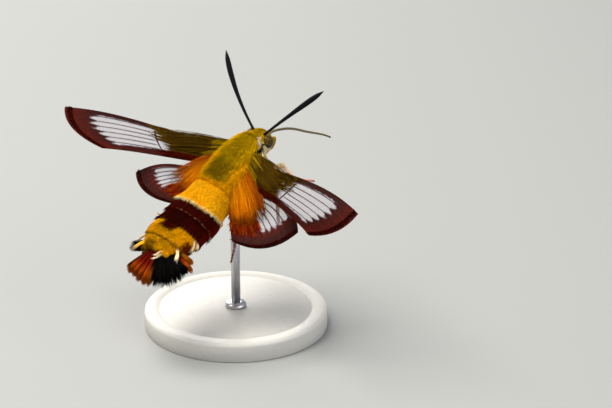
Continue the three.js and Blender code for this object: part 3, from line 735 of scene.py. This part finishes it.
# Cream tufts at the sides, on the tip and from the throat:
# [root y, root degrees, tip, half width, hairs, colour]
TUFTS = [
    [-11.2, -14, (4.15, -11.95, -1.2), 0.12, 60, WHITE],
    [-13.7, 14, (3.6, -15.6, -0.2), 0.26, 190, CREAM],
    [-13.6, 8, (4.0, -14.5, -0.3), 0.22, 150, CREAM],
    [-16.5, 26, (3.38, -18.3, 0.8), 0.24, 200, CREAM],
    [-18.1, 42, (-0.2, -19.7, 0.85), 0.2, 130, CREAM],
    [-18.0, 52, (-0.3, -19.2, 1.1), 0.16, 90, CREAM],
    [-17.7, 148, (-4.3, -19.6, 0.6), 0.16, 70, PALE_GOLD_AND_HIGHLIGHT],
    [-17.8, 142, (-4.45, -19.8, 0.2), 0.14, 60, PALE_GOLD_AND_HIGHLIGHT],
    [-13.1, 148, (-4.2, -13.4, 2.2), 0.1, 24, CREAM],
    [-11.2, 194, (-4.5, -11.95, -1.2), 0.12, 60, WHITE],
    [-13.9, 166, (-4.6, -15.5, -0.2), 0.16, 110, CREAM],
    [-16.3, 158, (-4.5, -18.2, 0.5), 0.2, 120, CREAM],
    [4.3, 22, (6.4, -0.4, 2.8), 0.1, 50, CREAM],
    [4.3, 158, (-6.4, -0.4, 2.6), 0.1, 50, CREAM],
]


def make_side_tufts():
    rows = []
    for y, angle, tip, half, count, colour in TUFTS:
        u, v = rng.uniform(-1, 1, (2, count))
        share = 1 - 0.4 * rng.beta(1, 2.5, count)
        root_y, root_angle = y + half * u, angle + 14 * half * v
        root, normal, _ = skin_frame(root_y, root_angle)
        point = np.array(tip) + 1.3 * half * np.stack([v, u, v * u], -1)
        end = root + (point - root) * share[:, None]
        middle = (root + end) / 2 + normal * 0.28
        tint = mixed(colour, GOLD, rng.uniform(0, 0.25, count))
        rows.append([root, middle, end, tint, skin_uv(root_y, root_angle), normal])
    root, middle, end, tint, uv, up = (np.concatenate(x) for x in zip(*rows))
    width = rng.uniform(0.08, 0.12, len(root))
    pale = mixed(tint, WHITE, 0.6)
    made = combed("side_tufts", root, middle, end, width, tint, pale, uv, up, rings=3, taper=0.4, dark=0.8)
    return finished(made, FUR, "abdomen_gold")


def make_seam_fringe():
    """The thin pale edge of the scales in the middle of the burgundy band."""
    count = 520
    angle = rng.uniform(-14, 122, count)
    y = 2 * BAND_SEAM_Y - ring_y(np.full(count, BAND_SEAM_Y), angle) + rng.normal(0, 0.02, count)
    places = ((0, 0.05), (0.12, 0.27), (0.3, 0.3))
    root, middle, end = (skin_point(y - back, angle, high) for back, high in places)
    _, normal, _ = skin_frame(y, angle)
    tint = mixed(CREAM, BURGUNDY_RED, rng.uniform(0, 0.5, count) ** 2)
    width = rng.uniform(0.06, 0.1, count)
    made = combed("seam_fringe", root, middle, end, width, tint, tint, skin_uv(y, angle), normal,
                  rings=2, taper=0.4, dark=0.9)
    return finished(made, FUR, "abdomen_burgundy")


# Tail fan

# Locks: [degrees from the left to the right, half their spread, share of the reach, hairs, taper,
# colour, tip colour]
FAN_LOCKS = {
    "left": [
        [-57, 10, 1.0, 900, 0.7, BLACK, BLACK],
        [-34, 12, 0.6, 260, 0.5, OLIVE_DARK, BROWN],
        [-62, 3, 0.9, 160, 0.5, BURGUNDY, BLACK],
    ],
    "middle": [
        [-20, 2.2, 0.98, 260, 0.3, BROWN, BURGUNDY_RED],
        [-15, 2.9, 1.0, 420, 0.3, BURGUNDY_RED, ORANGE],
        [-6, 2.9, 0.97, 420, 0.3, BURGUNDY_RED, ORANGE],
        [3, 2.9, 0.99, 420, 0.3, BURGUNDY_RED, ORANGE],
        [12, 2.9, 1.0, 420, 0.3, BURGUNDY_RED, ORANGE],
        [18, 3.0, 0.98, 300, 0.3, BLACK, ORANGE],
        [0, 20, 0.78, 500, 0.5, BURGUNDY, BURGUNDY_RED],
    ],
    "right": [
        [26, 5, 0.97, 420, 0.6, BLACK, BLACK],
        [35, 6, 1.0, 600, 0.6, BLACK, BLACK],
        [46, 7, 1.0, 700, 0.6, BLACK, BLACK],
        [58, 7, 0.97, 700, 0.6, BLACK, BLACK],
        [69, 6, 0.95, 460, 0.5, BLACK, BLACK],
        [74, 2.6, 1.06, 160, 0.3, BURGUNDY_RED, ORANGE],
        [82, 4, 0.93, 300, 0.3, OLIVE_DARK, ORANGE],
    ],
}


# Locks that taper more than this end raggedly
STRAIGHT_LOCK_TAPER = 0.55


def fan_way(turn, level):
    turn = np.radians(turn)
    return unit(np.stack([np.sin(turn), -np.cos(turn), level], -1))


def make_fan(part, slot):
    """Long straight hair in flat locks, that spread from the tip of the abdomen."""
    locks = []
    for way, spread, share, count, taper, colour, tip in FAN_LOCKS[part]:
        u = rng.uniform(-1, 1, count)
        level = rng.uniform(-1, 1, count)
        turn = way + spread * u
        reach = eased(FAN_REACH, turn) * share * (1 - 0.1 * rng.beta(1.2, 3, count)) * (1 - 0.05 * u**2)
        if taper > STRAIGHT_LOCK_TAPER:
            ragged = (0.5 + 0.7 * cloud(turn / 2.4 + 80, level * 1.3 + 40, 15)).clip(0, 1)
            loose = rng.uniform(0, 1, count) < 0.14
            reach = reach * np.where(loose, 1, 1 - 0.26 * ragged)
        start = fan_way(way * 0.9 + spread * 0.8 * u, 0.1 * level)
        root = FAN_APEX + start * rng.uniform(1.2, 2.2, count)[:, None]
        root[:, 2] += 0.9 * level
        end = FAN_APEX + fan_way(turn, 0.07 * level) * reach[:, None]
        base = colour * rng.normal(1, 0.16, count).clip(0.6, 1.5)[:, None]
        ends = mixed(base, tip, rng.uniform(0.3, 0.9, count))
        width = rng.uniform(0.08, 0.13, count)
        uv = np.stack([0.5 + turn / 200, 0.5 + 0.4 * level], -1)
        locks.append([root, end, base, ends, width, uv, np.full(count, taper)])
    root, end, tint, tip, width, uv, taper = (np.concatenate(x) for x in zip(*locks))
    n = len(root)
    middle = (root + end) / 2 + rng.normal(0, 0.05, (n, 3))
    up = np.tile([0.0, 0.0, 1.0], (n, 1))
    made = combed(f"tail_{part}_hair", root, middle, end, width, tint, tip, uv, up, 4, taper[:, None])
    return finished(made, FUR, slot, f"tail_fan_{part}")


# Wings

def wing_place(wing):
    shape, side, sweep, rise, feather, _ = wing
    sweep, rise, feather = (math.radians(x) for x in (sweep, rise, feather))
    flat = math.cos(rise)
    span = np.array([side * flat * math.cos(sweep), -flat * math.sin(sweep), math.sin(rise)])
    level = unit(np.cross([0, 0, 1], span)) * side
    above = np.cross(span, level) * side
    lead = level * math.cos(feather) + above * math.sin(feather)
    normal = np.cross(span, lead) * side
    return np.array(shape["root"]) * [side, 1, 1], span, lead, normal


def wing_point(wing, s, t, lift=0.0):
    """A point of the wing's sheet: s from root to outer margin, t from leading to rear edge."""
    shape, bend = wing[0], wing[5]
    s, t = np.broadcast_arrays(np.asarray(s, float), np.asarray(t, float))
    mix2 = lambda p, q, k: np.asarray(p) + (np.asarray(q) - np.asarray(p)) * k[..., None]
    root = mix2(shape["root_front"], shape["root_rear"], t)
    edge = mix2(shape["apex"], shape["margin"], t)
    edge = edge + (mix2(shape["margin"], shape["tornus"], t) - edge) * t[..., None]
    flat = root + (edge - root) * s[..., None]
    bulge = shape["bulge"][0] + (shape["bulge"][1] - shape["bulge"][0]) * t
    x, y = flat[..., 0], flat[..., 1] + bulge * 6.75 * s * s * (1 - s)
    arch = shape["camber"] * np.sin(np.pi * np.minimum(1, 0.15 + 0.85 * t)) * np.sin(np.pi * (0.1 + 0.8 * s))
    z = arch + bend * s * s
    origin, span, lead, normal = wing_place(wing)
    return origin + x[..., None] * span + y[..., None] * lead + (z + lift)[..., None] * normal


def wing_look(wing, s, t, chord, vein_near):
    """Colour and opacity of the wing at s, t."""
    fore = wing[0] is FOREWING
    out = (1 - s) * (22.0 if fore else 12.5)
    veins = wing[0]["veins"]
    between = np.interp(t, veins, np.arange(len(veins))) % 1
    teeth = 0.5 * np.cos(2 * np.pi * between)
    ripple = 0.5 * cloud(t * 40, s * 60, 11) + 0.3 * cloud(t * 110, s * 160, 12)
    flat = np.ones(s.shape + (1,))
    if fore:
        border = step(3.4, 2.8, out + 0.5 * ripple - teeth - 1.5 * t**2 - 0.6 * (1 - t) ** 2)
        border = np.maximum(border, step(1.0, 0.7, t * chord + 0.2 * ripple))
        border = np.maximum(border, step(1.5, 1.1, (1 - t) * chord + 0.25 * ripple))
        base = step(0.36, 0.2, s + 0.06 * ripple - 0.12 * t)
        outer = mixed(WING_BORDER * flat, WING_RED, 0.6 * step(0.8, 0.98, s) + 0.3 * step(0.7, 1, t))
        inner = mixed(mixed(OLIVE_DARK * flat, BROWN, step(0.2, 0.6, t)), BURGUNDY, step(0.7, 0.95, t))
    else:
        border = step(2.9, 2.3, out + 0.5 * ripple - 0.5 * teeth)
        border = np.maximum(border, step(0.8, 0.5, t * chord + 0.15 * ripple))
        border = np.maximum(border, step(0.5, 0.58, t + 0.04 * ripple))
        base = step(0.38, 0.3, s + 0.05 * ripple - 0.1 * t)
        outer = mixed(WING_RED * flat, WING_BORDER, step(0.75, 0.95, s))
        outer = mixed(outer, RUST, step(0.5, 0.7, t) * step(0.85, 0.6, s))
        inner = mixed(BURGUNDY_RED * flat, RUST, step(0.4, 0.8, t))
    colour = mixed(mixed(CLEAR * flat, outer, border), inner, base)
    covered = np.maximum(border, base)
    colour = colour * (1 + 0.22 * covered * ripple)[..., None]
    colour = mixed(colour, VEIN, vein_near * (1 - 0.5 * covered))
    opacity = 0.2 + 0.03 * ripple + 0.8 * np.maximum(covered, 0.92 * vein_near)
    return colour, opacity.clip(0.1, 1)


def make_wing(name):
    wing = WINGS[name]
    shape = wing[0]
    cell_front, cell_rear, cell_end = shape["cell"]
    near_cell_end = cell_end + np.array([-0.008, -0.003, 0, 0.003, 0.008])
    rows = np.unique(np.concatenate([np.linspace(0, 1, WING_ROWS), near_cell_end]))
    veins = np.array(shape["veins"])
    tops, bottoms, colours, opacities = [], [], [], []
    for s in rows:
        chord = np.linalg.norm(wing_point(wing, s, 0.0) - wing_point(wing, s, 1.0))
        half = VEIN_HALF_WIDTH * (1.25 - 0.55 * s) / chord
        columns, near = [], []
        for k, t in enumerate(veins):
            inside = cell_front < t < cell_rear
            shown = float(np.clip((s - cell_end) / 0.03, 0, 1)) if inside else 1.0
            for offset, height in ((-1, 0), (-0.5, 0.7), (0, 1), (0.5, 0.7), (1, 0)):
                if 0 <= t + offset * half <= 1:
                    columns.append(t + offset * half)
                    near.append(height * shown)
            if k + 1 < len(veins):
                for share in np.linspace(0.2, 0.8, 5):
                    columns.append(t + half + (veins[k + 1] - t - 2 * half) * share)
                    near.append(0.0)
        columns, near = np.array(columns), np.array(near)
        if abs(s - cell_end) < 0.004:
            near = np.where((columns >= cell_front) & (columns <= cell_rear), 1.0, near)
        lift = MEMBRANE_HALF + VEIN_RISE * near * (1 - 0.4 * s)
        tops.append(wing_point(wing, s, columns, lift))
        bottoms.append(wing_point(wing, s, columns, -lift))
        colour, opacity = wing_look(wing, np.full(len(columns), s), columns, chord, near)
        colours.append(colour)
        opacities.append(opacity)
    count = len(columns)
    points = np.concatenate([np.concatenate([a, b[::-1]]) for a, b in zip(tops, bottoms)])
    tint = np.concatenate([np.concatenate([c, c[::-1]]) for c in colours])
    alpha = np.concatenate([np.concatenate([o, o[::-1]]) for o in opacities])
    ring = 2 * count
    i, j = np.meshgrid(np.arange(len(rows) - 1), np.arange(ring), indexing="ij")
    a, b = i * ring + j, i * ring + (j + 1) % ring
    quads = np.stack([a, b, b + ring, a + ring], -1).reshape(-1, 4)
    j = np.arange(count - 1)
    last = (len(rows) - 1) * ring
    start = np.stack([j + 1, j, ring - 1 - j, ring - 2 - j], -1)
    end = np.stack([last + j, last + j + 1, last + ring - 2 - j, last + ring - 1 - j], -1)
    faces = np.concatenate([quads, start, end])
    if wing[1] < 0:
        faces = faces[:, ::-1]
    made = new_mesh(name + "_sheet", points, [faces], tint, alpha=alpha)
    return finished(made, WING, "wing", name)


# Hair on each kind of wing: [hairs, roots along the span, roots across, how far it runs along,
# colour, other colour, whether on the upper side]
FOREWING_HAIR = [
    [1300, (0.03, 0.42), (0.06, 0.5), 0.11, OLIVE_DARK, BROWN, True],
    [1100, (0.03, 0.36), (0.4, 0.8), 0.11, BROWN, OLIVE_DARK, True],
    [600, (0.05, 0.45), (0.02, 0.1), 0.08, OLIVE_DARK, WING_BORDER, True],
    [800, (0.05, 0.45), (0.8, 0.98), 0.09, BURGUNDY, WING_RED, True],
    [1300, (0.03, 0.26), (0.05, 0.95), 0.1, GOLD, CREAM, False],
    [900, (0.955, 0.985), (0.0, 1.0), 0.012, WING_BORDER, WING_RED, True],
]
HINDWING_HAIR = [
    [1900, (0.05, 0.55), (0.5, 1.0), 0.2, RUST, ORANGE, True],
    [800, (0.5, 0.72), (0.5, 1.0), 0.16, BURGUNDY_RED, RUST, True],
    [900, (0.05, 0.3), (0.0, 0.5), 0.1, BURGUNDY_RED, RUST, True],
    [900, (0.1, 0.55), (0.55, 1.0), 0.18, CREAM, ORANGE, False],
    [900, (0.95, 0.98), (0.0, 1.0), 0.02, WING_BORDER, WING_RED, True],
]


def wing_uv(s, t, upper):
    return np.stack([0.05 + 0.9 * s, 0.05 + 0.42 * t + np.where(upper, 0.0, 0.48)], -1)


def wing_hair(name, key, patches):
    """Hair that lies along the wing's faces."""
    wing = WINGS[key]
    normal = wing_place(wing)[3]
    parts = []
    for count, s_range, t_range, run, colour, other, upper in patches:
        s = s_range[0] + (s_range[1] - s_range[0]) * rng.beta(1, 1.8, count)
        t = rng.uniform(*t_range, count)
        face = 1 if upper else -1
        run = run * rng.uniform(0.6, 1.2, count)
        aside = rng.normal(0, 0.02, count)
        rise = face * rng.uniform(0.06, 0.32, count)
        at = [wing_point(wing, s + run * k, t + aside * k, face * MEMBRANE_HALF + rise * high)
              for k, high in ((0, -0.1), (0.5, 0.9), (1, 1.0))]
        patchy = cloud(t * 50, s * 9, 13) + rng.normal(0, 0.2, count)
        tint = mixed(colour, other, step(-0.5, 0.5, patchy))
        parts.append([*at, tint, wing_uv(s, t, upper), np.tile(normal * face, (count, 1))])
    root, middle, end, tint, uv, up = (np.concatenate(x) for x in zip(*parts))
    width = rng.uniform(0.08, 0.14, len(root))
    made = combed(name, root, middle, end, width, tint, tint * 1.15, uv, up, 3)
    return finished(made, FUR, "wing")


# Hair from the thorax over the wings' roots: [name, kind of wing, hairs, y from and to, degrees from and to,
# how far along the span it ends, across from and to, colour, tip colour, height over the wing]. Where the
# colour is None the hair starts in the colours of the coat under it and has a dark front edge.
SHOULDER_HAIR = [
    ["tegula", "forewing", 700, (2.9, -0.2), (32, 54), (0.05, 0.2), (0.1, 0.9), OLIVE, BROWN, 0.5],
    ["fore_roots", "forewing", 900, (2.9, 0.3), (24, 42), (0.1, 0.46), (0.1, 0.8), OLIVE_DARK, BROWN, 0.3],
    ["hind_roots", "hindwing", 1700, (0.2, -3.4), (18, 56), (0.2, 0.75), (0.35, 0.95), None, ORANGE, 0.6],
]


def make_shoulder_hair():
    for name, kind, count, ys, angles, spans, across, colour, tip, height in SHOULDER_HAIR:
        for hand, side in (("right", 1), ("left", -1)):
            wing = WINGS[f"{kind}_{hand}"]
            share = rng.uniform(0, 1, count)
            y = ys[0] + (ys[1] - ys[0]) * share
            angle = rng.uniform(*angles, count)
            angle = angle if side > 0 else 180 - angle
            root, normal, _ = skin_frame(y, angle)
            s = spans[0] + (spans[1] - spans[0]) * rng.beta(1.2, 1.5, count)
            t = (across[0] + (across[1] - across[0]) * share + rng.normal(0, 0.05, count)).clip(0, 1)
            end = wing_point(wing, s, t, height * rng.uniform(0.3, 1.0, count))
            reach = np.linalg.norm(end - root, axis=1)[:, None]
            middle = root + (end - root) * 0.45 + normal * reach * 0.11
            streak = cloud(share * 30, s * 6, 14)
            if colour is None:
                front = step(0.5, 0.12, share + 0.16 * streak)
                tint = mixed(coat_colour(y, angle), tip, (0.5 + 0.5 * streak).clip(0, 1))
                tint = mixed(tint, RUST, 0.8 * front)
                dark = np.maximum(front, step(0.6, 1.0, s + 0.2 * streak))
                ends = mixed(tip, WING_RED, dark)
            else:
                tint = mixed(colour, tip, step(-0.6, 0.6, streak))
                ends = tint * 1.1
            dim = rng.normal(1, 0.12, count).clip(0.6, 1.4)[:, None]
            width = rng.uniform(0.09, 0.15, count)
            made = combed(f"{name}_{hand}_hair", root, middle, end, width, tint * dim, ends * dim,
                          skin_uv(y, angle), normal)
            finished(made, FUR, "thorax_coat")


def make_wings():
    for name in WINGS:
        make_wing(name)
        wing_hair(name + "_hair", name, FOREWING_HAIR if name.startswith("forewing") else HINDWING_HAIR)


# Head parts, feelers, tongue and legs

def make_eyes():
    rows, sides = 40, 64
    for side, hand in ((1, "right"), (-1, "left")):
        polar = np.linspace(0.02, np.pi - 0.02, rows)
        around = np.linspace(0, 2 * np.pi, sides, endpoint=False)
        pp, aa = np.meshgrid(polar, around, indexing="ij")
        ball = np.stack([np.sin(pp) * np.cos(aa), np.sin(pp) * np.sin(aa), np.cos(pp)], -1).reshape(-1, 3)
        ball = np.concatenate([ball, [[0, 0, 1]], [[0, 0, -1]]])
        points = ball * (EYE_HALF - 0.04) + EYE_CENTRE * [side, 1, 1]
        shade = mixed(BLACK, srgb(58, 44, 10), step(0.3, 1.0, ball[:, 2]))
        made = new_mesh(f"eye_{hand}_ball", points, [f[:, ::-1] for f in tube_faces(rows, sides)], shade)
        finished(made, EYE, "eye", f"eye_{hand}")
        count = 1500
        way = unit(rng.normal(0, 1, (count, 3)))
        way = way[(way[:, 2] > 0.3 + 0.25 * way[:, 1]) & (way[:, 0] > -0.6)]
        normal = unit(way / EYE_HALF) * [side, 1, 1]
        root = (way * (EYE_HALF - 0.12) + EYE_CENTRE) * [side, 1, 1]
        lie = np.array([0.5 * side, 0.75, -0.7]) + rng.normal(0, 0.15, root.shape)
        lie = unit(lie - normal * np.sum(lie * normal, 1, keepdims=True))
        n = len(root)
        tint = mixed(OLIVE, BROWN, rng.uniform(0, 0.6, n) * step(0.9, 0.3, way[:, 2]))
        uv = np.stack([0.5 + 0.4 * way[:, 0], 0.5 + 0.4 * way[:, 1]], -1)
        made = hairs(f"brow_{hand}_coat", root, normal, lie, rng.uniform(0.3, 0.5, n), np.full(n, 0.07),
                     np.radians(rng.uniform(12, 26, n)), tint, tint, uv)
        finished(made, FUR, "head_coat")


def make_palps():
    for side, hand in ((1, "right"), (-1, "left")):
        t = np.linspace(0, 1, 24)
        path = bezier(PALP["path"], t) * [side, 1, 1]
        radius = (PALP["radius"] - 0.1) * np.sqrt(np.clip(1 - t**4, 0.01, 1)) * (1 - 0.25 * t)
        points, faces = tube(path, radius, 20)
        # painted shade: the palp's core under its hair is olive darkened to 0.7
        made = new_mesh(f"palp_{hand}_core", points, list(faces), OLIVE * 0.7)
        finished(made, SKIN, "palp", f"palp_{hand}")
        count = 1200
        t = rng.uniform(0.02, 0.97, count)
        turn = rng.uniform(0, 2 * np.pi, count)
        middle = bezier(PALP["path"], t) * [side, 1, 1]
        along = unit(bezier(PALP["path"], t + 0.02) - bezier(PALP["path"], t - 0.02)) * [side, 1, 1]
        normal = round_limb(along, turn, [1.0, 0.2, 0.0])
        root = middle + normal * (PALP["radius"] - 0.12) * (1 - 0.35 * t)[:, None]
        tint = mixed(OLIVE, CREAM, step(0.2, -0.5, normal[:, 2]) * step(0.8, 0.3, t))
        uv = np.stack([0.05 + 0.9 * t, 0.05 + 0.9 * turn / (2 * np.pi)], -1)
        made = hairs(f"palp_{hand}_coat", root, normal, along, np.full(count, 0.3), np.full(count, 0.07),
                     np.radians(rng.uniform(15, 35, count)), tint, tint, uv)
        finished(made, FUR, "palp")


def make_antennae():
    for hand, points in ANTENNA.items():
        rings = 62
        t = np.linspace(0, 1, rings * 4 + 1)
        path = bezier(points, 1.07 * t - 0.07)
        radius = eased(ANTENNA_RADIUS, t)
        radius = radius * (0.94 + 0.08 * np.abs(np.sin(np.pi * rings * t)) ** 0.6)
        points, faces = tube(path, radius, 20)
        made = new_mesh(f"antenna_{hand}_rod", points, list(faces))
        finished(made, ANTENNA_BLACK, "antenna", f"antenna_{hand}")


def make_tongue():
    path = spline(PROBOSCIS, 140)
    radius = np.linspace(*PROBOSCIS_RADIUS, 140) * (1 + 0.03 * np.sin(np.arange(140) * 1.9))
    points, faces = tube(path, radius, 16)
    made = new_mesh("proboscis_tube", points, list(faces))
    finished(made, TONGUE, "proboscis", "proboscis_root", "proboscis_tip")


def leg_parts(joints):
    """Thigh, shin and five toe joints as tubes, with spurs on the shin and claws on the toe."""
    hip, knee, heel, toe = (np.array(j, float) for j in joints)
    parts, shades = [], []

    def segment(a, b, ra, rb, swell, shade):
        t = np.linspace(0, 1, 14)
        path = a + (b - a) * t[:, None]
        ends = np.sqrt(np.clip(1 - np.abs(2 * t - 1) ** 6, 0.05, 1))
        radius = (ra + (rb - ra) * t) * ends * (1 + swell * np.sin(np.pi * t))
        made = tube(path, radius, 14)
        parts.append(made)
        shades.append(np.tile(shade, (len(made[0]), 1)))

    pale, dark = srgb(242, 200, 172), srgb(150, 66, 34)
    segment(hip, knee, LEG_RADII[0], LEG_RADII[1], 0.15, pale)
    segment(knee, heel, LEG_RADII[1] * 0.9, LEG_RADII[2], 0.1, pale)
    cuts = np.array([0, 0.42, 0.6, 0.75, 0.88, 1])
    for k in range(5):
        a, b = heel + (toe - heel) * cuts[k], heel + (toe - heel) * cuts[k + 1]
        r = LEG_RADII[2] + (LEG_RADII[3] - LEG_RADII[2]) * cuts[k]
        segment(a, b, r * 0.85, r * 0.95, 0.0, mixed(pale, dark, 0.4 + 0.12 * k))
    along = unit(toe - heel)
    side = unit(np.cross(along, [0.2, 0.1, 1.0]))
    for sign in (1, -1):
        segment(toe - along * 0.1, toe + along * 0.12 + side * sign * 0.16, 0.06, 0.02, 0.0, BLACK)
        spur = heel - unit(heel - knee) * 0.2
        segment(spur, spur + unit(heel - knee) * 0.9 + side * sign * 0.3, 0.09, 0.03, 0.0, dark)
    return parts, np.concatenate(shades)


def make_legs():
    for side, hand in ((1, "right"), (-1, "left")):
        for key, joints in LEGS.items():
            joints = np.array(joints) * [side, 1, 1]
            parts, tint = leg_parts(joints)
            points, faces = joined(parts)
            if key != "fore":
                tint = mixed(tint, BURGUNDY_RED, 0.7)
            made = new_mesh(f"leg_{key}_{hand}_limb", points, faces, tint)
            finished(made, LEG, "leg", f"leg_{key}_{hand}")
            leg_coat(key, hand, joints)


def leg_coat(key, hand, joints):
    """Short hair along thigh and shin, longest on the thigh."""
    count = 700
    share = rng.uniform(0.02, 0.98, count)
    thigh = rng.uniform(0, 1, count) < 0.62
    hip, knee, heel = joints[0], joints[1], joints[2]
    a = np.where(thigh[:, None], hip, knee)
    b = np.where(thigh[:, None], knee, heel)
    along = unit(b - a)
    turn = rng.uniform(0, 2 * np.pi, count)
    normal = round_limb(along, turn, [0.3, 0.2, 1.0])
    radius = np.where(thigh, 0.36, 0.24)
    root = a + (b - a) * share[:, None] + normal * radius[:, None]
    pale = CREAM if key == "fore" else RUST
    tint = mixed(pale, ORANGE, rng.uniform(0, 0.35, count))
    uv = np.stack([0.05 + 0.9 * share, 0.05 + 0.9 * turn / (2 * np.pi)], -1)
    length, width = np.where(thigh, 0.75, 0.4), np.full(count, 0.07)
    lift = np.radians(rng.uniform(8, 24, count))
    made = hairs(f"leg_{key}_{hand}_coat", root, normal, along, length, width, lift, tint, tint, uv)
    finished(made, FUR, "leg")


# Stand

def turned(profile, sides):
    """Points and faces of a solid turned round Z from an outline of (radius, height)."""
    profile = np.array(profile, float)
    turn = np.linspace(0, 2 * np.pi, sides, endpoint=False)
    ring = np.stack([np.cos(turn), np.sin(turn)], -1)
    points = [np.concatenate([ring * r, np.full((sides, 1), z)], 1) for r, z in profile]
    ends = [[0, 0, profile[0, 1]], [0, 0, profile[-1, 1]]]
    return np.concatenate([*points, ends]), tube_faces(len(profile), sides)


def make_stand():
    upright = Matrix.Identity(4)
    corner = BASE_CHAMFER
    turn = np.linspace(0, np.pi / 2, 9)
    rim, top = BASE_RADIUS - corner, BASE_THICKNESS - corner
    rounded = [(rim + corner * math.cos(a), top + corner * math.sin(a)) for a in turn]
    foot = [(BASE_RADIUS - 0.15, 0), (BASE_RADIUS, 0.15)]
    groove = [(BASE_RADIUS - 2.0, BASE_THICKNESS), (BASE_RADIUS - 2.2, BASE_THICKNESS - 0.15),
              (BASE_RADIUS - 2.5, BASE_THICKNESS - 0.15), (BASE_RADIUS - 2.7, BASE_THICKNESS)]
    points, faces = turned([*foot, *rounded, *groove], 160)
    made = new_mesh("stand_base_disc", points, list(faces), matrix=upright)
    finished(made, PAINT, "stand_base", "stand_base")
    rod_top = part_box("stand_rod")[1].z / MM
    rod = [(ROD_RADIUS, BASE_THICKNESS - 0.1), (ROD_RADIUS, rod_top + 0.4)]
    ferrule = [(1.6, BASE_THICKNESS - 0.05), (1.6, BASE_THICKNESS + 0.5), (1.35, BASE_THICKNESS + 0.75),
               (ROD_RADIUS, BASE_THICKNESS + 0.8)]
    points, faces = joined([turned(rod, 48), turned(ferrule, 48)])
    made = new_mesh("stand_rod_post", points, faces, matrix=upright)
    finished(made, STEEL, "stand_rod", "stand_rod")


# Camera, lights and floor

PHOTO = (612, 408)
MM_PER_PIXEL = 0.15
THORAX_AT = (235.7, 171.6)
CAMERA_AZIMUTH = math.radians(-137.5)
CAMERA_ELEVATION = math.radians(22)
CAMERA_DISTANCE = 382
SENSOR = 36


def make_camera():
    a, e = CAMERA_AZIMUTH, CAMERA_ELEVATION
    back = Vector((math.sin(a) * math.cos(e), -math.cos(a) * math.cos(e), math.sin(e)))
    right = Vector((0, 0, 1)).cross(back).normalized()
    up = back.cross(right)
    thorax = MOTH @ Vector((0, 0, 0))
    target = thorax + right * (PHOTO[0] / 2 - THORAX_AT[0]) * MM_PER_PIXEL
    target -= up * (PHOTO[1] / 2 - THORAX_AT[1]) * MM_PER_PIXEL
    data = bpy.data.cameras.new("camera")
    data.sensor_width = SENSOR
    data.lens = SENSOR * CAMERA_DISTANCE / (PHOTO[0] * MM_PER_PIXEL)
    data.clip_start, data.clip_end = 0.01, 20
    camera = bpy.data.objects.new("camera", data)
    bpy.context.scene.collection.objects.link(camera)
    camera.location = (target + back * CAMERA_DISTANCE) * MM
    camera.rotation_mode = "QUATERNION"
    camera.rotation_quaternion = (-back).to_track_quat("-Z", "Y")
    bpy.context.scene.camera = camera
    return right, up, back


def make_light(name, direction, distance, size, power, colour):
    data = bpy.data.lights.new(name, "AREA")
    data.energy = power
    data.size = size
    data.color = colour
    light = bpy.data.objects.new(name, data)
    bpy.context.scene.collection.objects.link(light)
    light.location = Vector(direction).normalized() * distance + Vector((0, 0, HOVER_HEIGHT * MM))
    light.rotation_mode = "QUATERNION"
    light.rotation_quaternion = Vector(direction).to_track_quat("Z", "Y")


def make_floor():
    bpy.ops.mesh.primitive_plane_add(size=6, location=(0, 0, 0))
    floor = bpy.context.object
    floor.name = "floor"
    m = bpy.data.materials.new("floor")
    m.use_nodes = True
    shader = m.node_tree.nodes["Principled BSDF"]
    shader.inputs["Base Color"].default_value = (0.31, 0.315, 0.31, 1)
    shader.inputs["Roughness"].default_value = 0.9
    floor.data.materials.append(m)


def make_studio():
    right, up, back = make_camera()
    make_light("key", back * 0.55 + up * 1.0 - right * 0.55, 0.5, 0.35, 4.6, (1.0, 0.97, 0.9))
    make_light("fill", back * 0.8 + right * 0.9 + up * 0.1, 0.6, 0.5, 1.6, (0.93, 0.95, 1.0))
    make_light("rim", -back * 0.9 + up * 0.7 - right * 0.3, 0.5, 0.3, 1.6, (1.0, 0.98, 0.95))
    world = bpy.data.worlds.new("studio")
    world.use_nodes = True
    world.node_tree.nodes["Background"].inputs["Color"].default_value = (0.95, 0.97, 1.0, 1)
    world.node_tree.nodes["Background"].inputs["Strength"].default_value = 0.45
    bpy.context.scene.world = world
    bpy.context.scene.view_settings.view_transform = "Standard"
    make_floor()


make_studio()
make_skin()
make_coats()
make_side_tufts()
make_seam_fringe()
make_fan("middle", "tail_rust")
make_fan("right", "tail_black")
make_fan("left", "tail_black")
make_wings()
make_shoulder_hair()
make_eyes()
make_palps()
make_antennae()
make_tongue()
make_legs()
make_stand()
